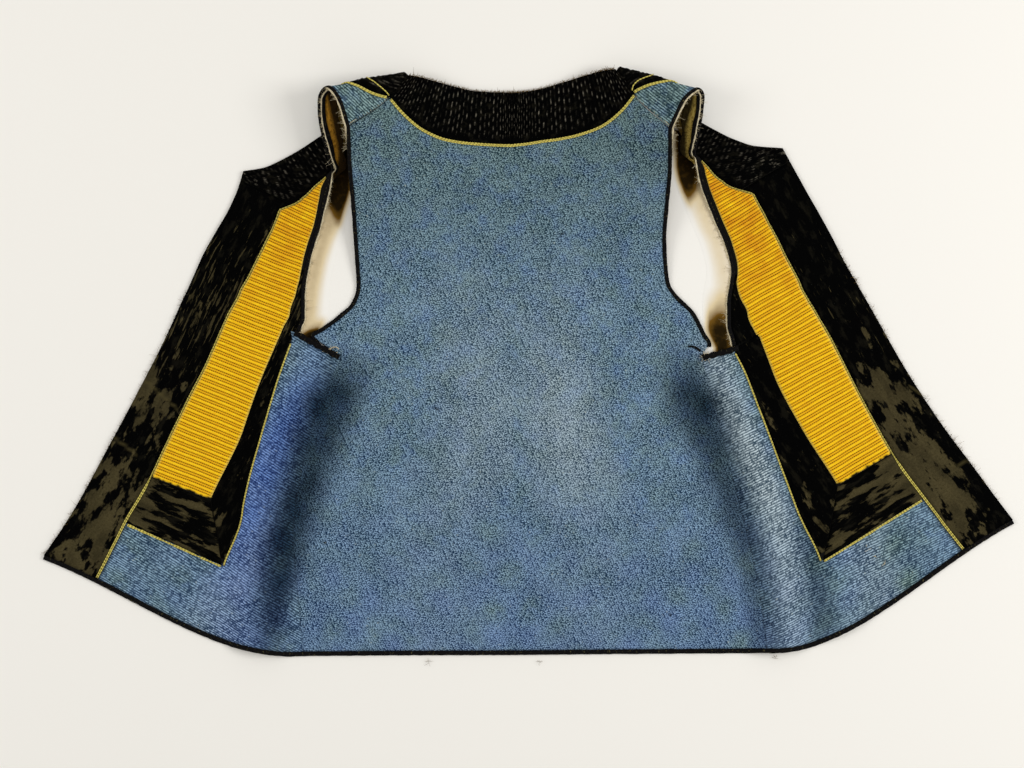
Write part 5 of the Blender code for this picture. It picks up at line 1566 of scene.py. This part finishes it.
def armhole_edge(front, back):
    """The armhole's edge from the slit over the strap and down the back."""
    up, _ = front.evenly(SLIT_TIP + 0.05, SEAM_TOP - 0.02, 0.0, 1.3)
    down = back.evenly(SLIT_TIP - 0.3, 12.985, 0.0, 1.3)[0][::-1]
    parts = zip(cloth_edge(front, (up, 0.0), (up, 0.3)), cloth_edge(back, (down, 0.0), (down, 0.05)))
    path, normals, away = (world(front.side, np.concatenate(pair)) for pair in parts)
    return path, unit(normals), unit(away), np.concatenate([up, down]), len(up)


def smoothed(values, reach):
    """Values averaged with their neighbours along the first axis, the ends held."""
    padded = np.concatenate([np.repeat(values[:1], reach, 0), values, np.repeat(values[-1:], reach, 0)])
    kernel = np.hanning(2 * reach + 3)[1:-1]
    kernel /= kernel.sum()
    return np.stack([np.convolve(padded[:, k], kernel, "valid") for k in range(values.shape[1])], -1)


def tape(name, path, normals, away, wide, tall, finish, seed):
    """Tape folded round an edge: an uneven rounded ring carried along it, out over the cloth's edge."""
    count = len(path)
    ring = np.broadcast_to(rounded(1.0, 1.0, 12), (count, 12, 2)).copy()
    ring = np.sign(ring) * np.abs(ring) ** 0.75
    place = np.arange(count, dtype=float)
    uneven = 1 + 0.12 * waves_along(place, 9.0, seed) + 0.08 * waves_along(place, 3.1, seed + 1)
    ring[..., 0] *= wide * uneven[:, None]
    ring[..., 1] *= tall
    centre = path + away * (wide - 0.3) + normals * tall
    across = unit(np.cross(unit(np.gradient(centre, axis=0)), normals))
    ring[..., 0] *= np.sign(np.sum(across * away, axis=-1))[:, None]
    return tubes(name, centre[None], normals[None], ring[None], finish)


class WAISTCOAT_OT_bindings(Operator):
    """Makes the black tape round the armholes and along the hem."""

    bl_idname = "waistcoat.bindings"
    bl_label = "Bindings"

    def execute(self, context):
        finish = cotton_tape()
        for front, back in zip(fronts(), backs()):
            path, normals, away, _, _ = armhole_edge(front, back)
            path, normals, away = smoothed(path, 2), unit(smoothed(normals, 3)), unit(smoothed(away, 3))
            name = f"binding_{front.side}"
            finish_piece(tape(name, path, normals, away, 1.55, 1.15, finish, 71), "black_binding", name)
        halves = []
        for front, back in zip(fronts(), backs()):
            pieces = []
            for cloth, marks in ((front, np.linspace(4, 0, 190)), (back, np.linspace(0, 1, 120))):
                points, normals, away = cloth_edge(cloth, (0.0, marks), (0.5, marks))
                rise = np.maximum(cloth.relief(points, 0.0) - GAP, 0)
                pieces.append((lifted(points, normals, rise), normals, away))
            halves.append([world(front.side, np.concatenate(parts)) for parts in zip(*pieces)])
        path, normals, away = join_halves(halves)
        path, normals, away = smoothed(path, 3), unit(smoothed(normals, 4)), unit(smoothed(away, 4))
        piece = tape("hem_binding", path, normals, away, 1.85, 1.15, finish, 75)
        finish_piece(piece, "black_binding", "hem_binding")
        return {"FINISHED"}


def threads(name, roots, directions, lengths, radius, finish, seed, droop=0.0):
    """Loose threads: each bends evenly and tapers from its root along its direction, with four sides."""
    rng = np.random.default_rng(seed)
    count = len(roots)
    t = np.linspace(0, 1, 5)[None, :, None]
    bend = unit(rng.normal(size=(count, 3))) * rng.uniform(0.1, 0.5, (count, 1))
    bend[:, 2] = np.abs(bend[:, 2]) * 0.5 - droop
    reach = lengths[:, None, None]
    paths = roots[:, None] + directions[:, None] * t * reach + bend[:, None] * t * t * reach
    paths[..., 2] = np.maximum(paths[..., 2], radius)
    ring = np.broadcast_to(rounded(1.0, 1.0, 4), (count, 5, 4, 2)) * radius
    ring = ring * (1 - 0.55 * t[..., None])
    return tubes(name, paths, np.array([0.1, 0.05, 1.0]), ring, finish)


# Painted shadow on the sheet that lies inside an armhole, where the raised strap and cloth edges shade the
# table, each row: y, centre x, amount and half width
ARMHOLE_SHADOWS = {
    "left": (
        (
            (40, 164, 0.4, 14), (71, 161, 0.42, 13), (94, 157, 0.46, 13), (112, 152, 0.46, 14),
            (130, 146, 0.5, 16), (205, 140, 0.5, 16),
        ),
        (
            (123, 137.6, 0, 6), (131, 137.6, 0.4, 7), (141, 137, 0.7, 13), (155, 137, 1.1, 17),
            (205, 137, 1.3, 19),
        ),
        ((30, 160, 1.2, 26), (40, 155, 1, 18), (46, 149, 0.6, 15), (56, 146, 0, 12)),
    ),
    "right": (
        (
            (40, 170, 0.2, 12), (80, 170, 0.26, 13), (110, 165, 0.28, 14), (128, 157, 0.3, 15),
            (150, 150, 0.34, 15), (205, 146, 0.4, 15),
        ),
        (
            (137, 138.6, 0, 7), (144, 138.6, 0.4, 8), (153, 139, 0.75, 13), (164, 138, 1.05, 16),
            (205, 137.6, 1.3, 19),
        ),
        (
            (20, 164, 0.95, 30), (44, 163, 0.9, 26), (53, 163, 0.7, 22), (62, 163, 0.35, 18),
            (78, 163, 0, 12),
        ),
    ),
}


def inlay(side):
    """A thin sheet that lies flat on the table inside an armhole, up to 22 mm wide from under the front's
    edge, painted with the shadow that falls there.
    """
    ys = np.linspace(20.0, 203.0, 116)
    us = np.linspace(SLIT_TIP, PANEL_TIP, 200)
    armhole = front_point(side, us, 0 * us)
    from_x = np.interp(ys, armhole[:, 1], armhole[:, 0]) + 2.5
    down = np.linspace(SLIT_TIP, 12.9, 200)
    behind = back_point(side, down, 0 * down)
    to_x = np.maximum(from_x - SHADOW_SHEET_WIDE, np.interp(ys, behind[:, 1], behind[:, 0]) - 3.0)
    across = np.append(np.linspace(0, 0.999, 17), 1.0)[None]
    x = from_x[:, None] + (to_x - from_x)[:, None] * across
    y = np.broadcast_to(ys[:, None], x.shape)
    fade = np.clip((1 - across) * 4, 0, 1)
    ends = np.clip(np.minimum(ys - ys[0], ys[-1] - ys) / 6, 0, 1)
    flat = np.stack([x, y, 0.07 + 0.35 * np.broadcast_to(fade, x.shape) * ends[:, None]], axis=-1)
    low = np.stack([x, y, np.full(x.shape, 0.03)], axis=-1)
    reaches_back = np.where(to_x > from_x - SHADOW_SHEET_WIDE + 0.1, 1.0, 0.0)[:, None]
    # The brown value is painted shadow: soft beside the front's edge, deep under the strap and at the
    # armhole's foot
    brown = np.clip(soft_bands(ARMHOLE_SHADOWS[side], x, y), 0, 1) * np.maximum(reaches_back, fade)
    name = f"inlay_{side}"
    faces = world(side, flat), world(side, low)
    finish_piece(wall(name, *faces, armhole_shadow_paint(), flat[..., :2] / 1000, {"brown": brown}), "cream_linen")


class WAISTCOAT_OT_interlining(Operator):
    """Makes the raw cream interlining that shows at the armholes, with its frayed threads, and the sheet of
    painted shadow inside each armhole.
    """

    bl_idname = "waistcoat.interlining"
    bl_label = "Interlining"

    def execute(self, context):
        finish = raw_linen()
        for front, back in zip(fronts(), backs()):
            path, normals, away, us, turn = armhole_edge(front, back)
            shown = np.arange(len(path)) < turn + np.count_nonzero(us[turn:] > CREAM_FOOT)
            path, normals, away = (smoothed(part[shown], 3) for part in (path, normals, away))
            normals, away = unit(normals), unit(away)
            place = np.arange(len(path), dtype=float)
            ragged = 0.45 + 0.5 * waves_along(place, 4.3, 81) + 0.4 * waves_along(place, 11.0, 82)
            turned = np.clip(0.5 - 1.5 * normals[:, 2], 0, 1)
            on_back = np.clip((place - turn) / 12, 0, 1)
            reach = (2.7 + 0.8 * np.clip(ragged, 0, 1.4) - 0.6 * on_back) * (1 - turned) + 0.1 * turned
            rise = 0.75 * (1 - turned) - 0.9 * turned - 0.5 * on_back
            centre = path + away * reach[:, None] + normals * rise[:, None]
            ring = np.broadcast_to(rounded(0.85, 0.45, 8), (len(path), 8, 2)).copy()
            end = np.clip((len(path) - 1 - place) / 14, 0.05, 1)
            frayed = 0.95 + 0.8 * waves_along(place, 2.7, 83) + 0.5 * waves_along(place, 7.0, 86)
            ring[..., 0] *= (end * np.clip(frayed, 0.1, 1.8))[:, None]
            ring[..., 1] *= end[:, None]
            name = f"cream_{front.side}"
            finish_piece(tubes(name, centre[None], normals[None], ring[None], finish), "cream_linen", name)
            rng = np.random.default_rng(84)
            picked = rng.integers(0, len(path), 420)
            roots = centre[picked] + normals[picked] * rng.uniform(-0.3, 0.5, (420, 1))
            forward = unit(np.gradient(centre, axis=0))[picked]
            directions = unit(away[picked] + forward * rng.normal(0, 0.7, (420, 1)) + normals[picked] * 0.1)
            name, reach = f"fringe_{front.side}", rng.gamma(2.2, 0.85, 420) + 0.4
            finish_piece(threads(name, roots, directions, reach, 0.14, finish, 85, 0.1), "cream_linen")
            inlay(front.side)
        return {"FINISHED"}


# Where painted shade starts on the lining inside a strap, under the strap's upper layer: y and the x of the
# line past which it does
LINING_SHADE_LINE = {
    "left": ((163, 145), (173, 139.4), (182, 137.9), (196.6, 140.5), (228.8, 146.7)),
    "right": ((167, 145.6), (174.6, 141.4), (182.4, 139.2), (197.6, 138.4), (213, 141.4), (221, 143.6)),
}


def lining_shade(side, x, y):
    """Painted shade: 1 past the line where the lining goes into shade, falling to 0 over three millimetres.
    """
    return np.clip((read(LINING_SHADE_LINE[side], 1, y) - x) / 3 + 0.5, 0, 1) * 0.95


class WAISTCOAT_OT_lining(Operator):
    """Makes the black facing and the tan lining inside the straps."""

    bl_idname = "waistcoat.lining"
    bl_label = "Facing and lining"

    def execute(self, context):
        thick = mm("lining")
        for cloth in fronts():
            side, tan = cloth.side, cotton_lining(cloth.side)
            us = uneven_steps((FOLD_UNDER - 0.8, 22, 40), (22, SEAM_TOP - 0.3, 60))
            facing_end = 1 - cloth.step(us, 0.9, GAP)
            lining_end = np.interp(us, (21, 24, 26, 28), (3, 3.3, 3.3, 3))
            for name, low, high, columns, deep, finish, slot in (
                ("facing", 0.0, facing_end, 12, 1.0, cotton_tape(), "black_binding"),
                ("lining", 1.0, lining_end, 40, 0.2, tan, "tan_lining"),
            ):
                points, normals, share = cloth.face(us[:, None], between(low, high, columns))
                depth = 0.25 * (wobble(points[..., 0], points[..., 1] * 2, 9.0, 91) - 1) - deep
                outer = world(side, lifted(points, normals, depth))
                inner = world(side, lifted(points, normals, depth - thick))
                outer[..., 2] = np.maximum(outer[..., 2], thick + 0.05)
                inner[..., 2] = np.maximum(inner[..., 2], 0.05)
                # Painted shade on the lining past its shade line
                values = {"brown": lining_shade(side, points[..., 0], points[..., 1])}
                piece = wall(f"{name}_{side}", inner, outer, finish, cloth.weave(us[:, None], share), values)
                finish_piece(piece, slot, f"{name}_{side}")
                if name == "lining":
                    note_cut(piece, inner)
            us = np.linspace(13.3, 18.0, 40)
            wide = np.interp(us, [13.3, 14.2, 15.2, 16.4, 18.0], [0.6, 5.0, 8.6, 10.4, 10.4])
            across = np.linspace(0, 1, 14)[None, :, None]
            edge = cloth.face(us, 0.0)[0][:, None]
            hang = edge + np.array([-1.0, 0.1, -0.32]) * wide[:, None, None] * across
            hang[..., 2] += 1.6 * np.sin(np.pi * across[..., 0]) - 0.9
            faces = world(side, hang), world(side, hang - 0.8 * UPWARDS)
            # The tongue carries the same painted shade
            values = {"brown": lining_shade(side, hang[..., 0], hang[..., 1])}
            finish_piece(wall(f"tongue_{side}", *faces, tan, hang[..., :2] / 1000, values), "tan_lining")
        return {"FINISHED"}


def on_table(pixel, height):
    """Where a pixel of the photograph lies, in millimetres from the picture's middle, at a height."""
    return np.array([(pixel[0] - PICTURE_MIDDLE[0]) * PIXEL, (PICTURE_MIDDLE[1] - pixel[1]) * PIXEL, height])


class WAISTCOAT_OT_slits(Operator):
    """Makes the rolled edges of the side slits, with their thread loop, tuft and loose end."""

    bl_idname = "waistcoat.slits"
    bl_label = "Side slits"

    def execute(self, context):
        radius, over = mm("roll"), mm("wool")
        for side in ("left", "right"):
            tip = front_point(side, np.array(float(SLIT_TIP)), np.array(0.0))
            foot = front_point(side, np.array(float(SLIT_FOOT)), np.array(0.0))
            along = unit(foot - tip)
            travel = np.linspace(-1.5, np.linalg.norm(foot - tip) - 1.0, 60)[:, None]
            beside = np.array([along[1], -along[0], 0.0]) * np.sign(along[0])
            path = tip + along * travel + beside * radius * 0.3
            path = path + beside * 0.5 * waves_along(travel, 13.0, 101)
            path[:, 2] = over + radius * 0.8 + soft_bands(RIDGES[side], path[:, 0], path[:, 1])
            path = world(side, path)
            ring = twisted(path, radius * 0.95, 7.0, 1, 12)
            ring[..., 1] *= 0.85
            name = f"roll_{side}"
            finish_piece(tubes(name, path[None], UPWARDS, ring[None], cotton_tape()), "black_binding", name)
            rng = np.random.default_rng(102)
            near, count = (path[-14], 9) if side == "left" else (path[-8], 26)
            roots = near + rng.normal(0, 1.2, (count, 3)) * np.array([1.0, 1.0, 0.2])
            directions = unit(rng.normal(size=(count, 3)) * np.array([1.0, 1.0, 0.25]))
            reach = rng.uniform(2.0, 5.5, count)
            tuft = threads(f"tuft_{side}", roots, directions, reach, 0.2, raw_linen(), 103)
            finish_piece(tuft, "cream_linen")
        angle = np.linspace(0.2, 1.75 * np.pi, 40)
        loop = np.stack([3.4 * np.cos(angle), 2.4 * np.sin(angle), 4.2 + 0.6 * np.sin(2 * angle)], -1)
        loop = on_table(LOOP_PIXEL, 0.0) + loop
        ring = np.broadcast_to(rounded(0.35, 0.35, 6), (1, 40, 6, 2))
        finish_piece(tubes("thread_loop", loop[None], UPWARDS, ring, raw_linen()), "cream_linen")
        t = np.linspace(0, 1, 16)
        tail = np.stack([-9.5 * t, 3.4 * t + 1.5 * np.sin(3 * t), 0.9 * np.sin(np.pi * t)], -1)
        tail = on_table(END_PIXEL, 2.4) + tail
        ring = np.broadcast_to(rounded(1.1, 0.8, 8), (1, 16, 8, 2)) * (1 - 0.45 * t)[None, :, None, None]
        finish_piece(tubes("loose_end", tail[None], UPWARDS, ring, cotton_tape()), "black_binding")
        return {"FINISHED"}


# Where lint and dark specks lie: side, x and y. Where the hem frays: side and x.
LINT = (("right", 290, -137), ("right", 297, -145), ("right", 284, -132), ("left", 205, 26))
SPECKS = (("left", 149.6, -127.2), ("right", 126.4, -184.8), ("left", 60, -20), ("right", 40, 120))
HEM_FRAY = (("left", 67.2), ("right", 22.4), ("right", 210.4), ("right", 262.4))


def lying(side, x, y, lift):
    """A place on the cloth over half coordinates, on its ridges and creases."""
    rise = float(soft_bands(RIDGES[side], x, y) + creases(side, x, y))
    return world(side, np.array([x, y, rise + lift + 0.6]))


class WAISTCOAT_OT_stitches(Operator):
    """Makes the seam stitches, the frayed neck edge, the lint and the specks."""

    bl_idname = "waistcoat.stitches"
    bl_label = "Stitches and lint"

    def execute(self, context):
        over = mm("wool")
        roots, directions = [], []
        for cloth in fronts():
            marks = np.linspace(0.15, 2.9, 26)
            points, ahead = (cloth.place(SEAM_TOP - 0.12, at, over + 0.05) for at in (marks, marks + 0.02))
            roots.append(world(cloth.side, points))
            directions.append(world(cloth.side, unit(ahead - points) + [0.0, 0.35, 0.0]))
        roots, directions = np.concatenate(roots), unit(np.concatenate(directions))
        reach = np.full(len(roots), 1.3)
        piece = threads("shoulder_stitches", roots, directions, reach, 0.16, raw_linen(), 111)
        finish_piece(piece, "cream_linen")
        rng = np.random.default_rng(112)
        found = []
        for side in ("left", "right"):
            _, edge = neck_lines(side, rng.uniform(0, 6, 400))
            points, normals = back_place(side, edge[:, 0], edge[:, 1])
            points[:, 1] -= rng.uniform(0, 0.9, 400)
            found.append(world(side, points + normals * (over + rng.uniform(0.4, 2.6, (400, 1)))))
        roots = np.concatenate(found)
        sideways, upwards = rng.normal(0, 0.8, 800), rng.normal(0, 0.3, 800)
        directions = unit(np.stack([sideways, np.ones(800), upwards], -1))
        reach = rng.gamma(2.0, 0.45, 800) + 0.3
        piece = threads("neck_fray", roots, directions, reach, 0.16, frayed_thread(), 113)
        finish_piece(piece, "black_velvet")
        for cloth, ends, count in zip(fronts(), ((0.0, 6.0), (0.3, 8.0)), (180, 260)):
            us = np.sort(ends[0] + (ends[1] - ends[0]) * rng.beta(1.1, 1.6, count))
            points, normals, away = cloth_edge(cloth, (us, 4.0), (us, 3.7))
            roots = world(cloth.side, points + normals * (over + rng.uniform(0.0, 1.2, (count, 1))))
            directions = world(cloth.side, unit(away + rng.normal(0, 0.7, (count, 3)) * [1.0, 1.0, 0.3]))
            reach = rng.gamma(1.6, 0.9, count) + 0.3
            piece = threads(f"edge_fray_{cloth.side}", roots, directions, reach, 0.14, frayed_thread(), 114)
            finish_piece(piece, "black_velvet")
        pale = [lying(*place, over) for place in LINT]
        dark = [lying(*place, over) for place in SPECKS]
        hem_y = [np.interp(x, [204.0, 402.4], [-219.0, -114.0]) - 3.0 for _, x in HEM_FRAY]
        hem = [world(side, np.array([x, y, 1.4])) for (side, x), y in zip(HEM_FRAY, hem_y)]
        for name, places, count, size, radius, finish in (
            ("lint", pale, 3, 2.6, 0.22, raw_linen()),
            ("specks", dark, 6, 0.9, 0.35, cotton_tape()),
            ("hem_fray", hem, 7, 2.6, 0.13, frayed_thread()),
        ):
            roots = np.repeat(np.array(places), count, axis=0)
            roots = roots + rng.normal(0, 0.8, roots.shape) * [1, 1, 0.1]
            directions = unit(rng.normal(size=roots.shape) * [1.0, 1.0, 0.1])
            reach = rng.uniform(0.5, 1.4, len(roots)) * size
            finish_piece(threads(name, roots, directions, reach, radius, finish, 115), "cream_linen")
        return {"FINISHED"}


class WAISTCOAT_OT_cuts(Operator):
    """Lists each cloth with how it is held, what it rests on and what lies beside it, and looks up their
    pieces.
    """

    bl_idname = "waistcoat.cuts"
    bl_label = "Cuts of the cloths"

    def execute(self, context):
        cloths = [("back", "laid", [], ["piping_back", "hem_binding"])]
        cloths.append(("neckband_back", "gathered", ["back"], []))
        for side in ("left", "right"):
            front = f"front_{side}"
            kinds = ("binding", "cream", "inlay", "piping", "braid_inner", "braid_outer")
            cloths.append((front, "laid", ["back"], [f"{kind}_{side}" for kind in kinds]))
            cloths.append((f"neckband_{side}", "gathered", [front], [f"braid_yoke_{side}"]))
            cloths.append((f"panel_{side}", "stretched", [front], []))
            cloths.append((f"lining_{side}", "laid", [front], [f"facing_{side}", f"tongue_{side}"]))
            cloths.append((f"foot_{side}", "laid", [front], [f"braid_foot_{side}"]))
            cloths.extend((f"{kind}_{side}", "laid", [front], []) for kind in ("band", "strip"))
        for name, held, rests_on, beside in cloths:
            piece = bpy.data.objects[made_name(name)]
            others = [bpy.data.objects[made_name(other)] for other in beside]
            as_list(rests_on)
        return {"FINISHED"}


class WAISTCOAT_OT_stage(Operator):
    """Makes the table, the lights and the camera."""

    bl_idname = "waistcoat.stage"
    bl_label = "Table, lights and camera"

    def execute(self, context):
        scene = context.scene
        half = TABLE_HALF
        points = [(-half, -half, 0.0), (half, -half, 0.0), (half, half, 0.0), (-half, half, 0.0)]
        mesh = bpy.data.meshes.new("table_top")
        mesh.from_pydata(points, [], [(0, 1, 2, 3)])
        made = bpy.data.materials.new("painted_board")
        made.use_nodes = True
        shader = made.node_tree.nodes["Principled BSDF"]
        shader.inputs["Base Color"].default_value = scene.waistcoat_colours.table
        shader.inputs["Roughness"].default_value = 0.7
        shader.inputs["Specular IOR Level"].default_value = 0.2
        mesh.materials.append(made)
        table = bpy.data.objects.new("table_top", mesh)
        scene.collection.objects.link(table)
        for name, place, turn, wide, watts in (
            ("lamp_left", (-1.8, 0.1, 1.35), (0.0, np.radians(-53), 0.0), 0.9, 12.5),
            ("lamp_right", (1.8, 0.1, 1.35), (0.0, np.radians(53), 0.0), 0.9, 24.0),
            ("lamp_top", (0.0, 0.9, 1.9), (np.radians(-25), 0.0, 0.0), 1.4, 4.0),
        ):
            data = bpy.data.lights.new(name, "AREA")
            data.shape = "SQUARE"
            data.size = wide
            data.energy = watts
            lamp = bpy.data.objects.new(name, data)
            lamp.location = place
            lamp.rotation_euler = turn
            scene.collection.objects.link(lamp)
        room = bpy.data.worlds.new("soft_room")
        room.use_nodes = True
        room.node_tree.nodes["Background"].inputs["Color"].default_value = (1.0, 0.99, 0.97, 1.0)
        room.node_tree.nodes["Background"].inputs["Strength"].default_value = 0.5
        scene.world = room
        scene.view_settings.view_transform = "Standard"
        data = bpy.data.cameras.new("camera_above")
        data.sensor_width = 36.0
        data.lens = data.sensor_width * VIEW_HEIGHT / (PICTURE_WIDTH * PIXEL)
        camera = bpy.data.objects.new("camera_above", data)
        camera.location = (-MIDDLE[0] / 1000, -MIDDLE[1] / 1000, VIEW_HEIGHT / 1000)
        scene.collection.objects.link(camera)
        scene.camera = camera
        return {"FINISHED"}


class WAISTCOAT_PT_panel(Panel):
    """Lists the waistcoat's pieces, sizes and colours in the sidebar."""

    bl_idname = "WAISTCOAT_PT_panel"
    bl_label = "Waistcoat"
    bl_space_type = "VIEW_3D"
    bl_region_type = "UI"
    bl_category = "Waistcoat"

    def draw(self, context):
        for operator in OPERATORS:
            self.layout.operator(operator.bl_idname)
        for group in (context.scene.waistcoat_sizes, context.scene.waistcoat_colours):
            for name in group.__annotations__:
                self.layout.prop(group, name)


OPERATORS = (
    WAISTCOAT_OT_wool,
    WAISTCOAT_OT_velvet,
    WAISTCOAT_OT_neckband,
    WAISTCOAT_OT_panels,
    WAISTCOAT_OT_braids,
    WAISTCOAT_OT_bindings,
    WAISTCOAT_OT_interlining,
    WAISTCOAT_OT_lining,
    WAISTCOAT_OT_slits,
    WAISTCOAT_OT_stitches,
    WAISTCOAT_OT_cuts,
    WAISTCOAT_OT_stage,
)
CLASSES = (WaistcoatSizes, WaistcoatColours, *OPERATORS, WAISTCOAT_PT_panel)


def register():
    """Registers the classes and gives the scene its sizes and colours."""
    for kind in CLASSES:
        bpy.utils.register_class(kind)
    bpy.types.Scene.waistcoat_sizes = PointerProperty(type=WaistcoatSizes)
    bpy.types.Scene.waistcoat_colours = PointerProperty(type=WaistcoatColours)


def unregister():
    """Takes the sizes, the colours and the classes away again."""
    del bpy.types.Scene.waistcoat_colours
    del bpy.types.Scene.waistcoat_sizes
    for kind in reversed(CLASSES):
        bpy.utils.unregister_class(kind)


def main():
    """Registers the classes, makes every piece in order and sets up the table, lights and camera."""
    register()
    bpy.ops.waistcoat.wool()
    bpy.ops.waistcoat.velvet()
    bpy.ops.waistcoat.neckband()
    bpy.ops.waistcoat.panels()
    bpy.ops.waistcoat.braids()
    bpy.ops.waistcoat.bindings()
    bpy.ops.waistcoat.interlining()
    bpy.ops.waistcoat.lining()
    bpy.ops.waistcoat.slits()
    bpy.ops.waistcoat.stitches()
    bpy.ops.waistcoat.cuts()
    bpy.ops.waistcoat.stage()


if __name__ == "__main__":
    main()
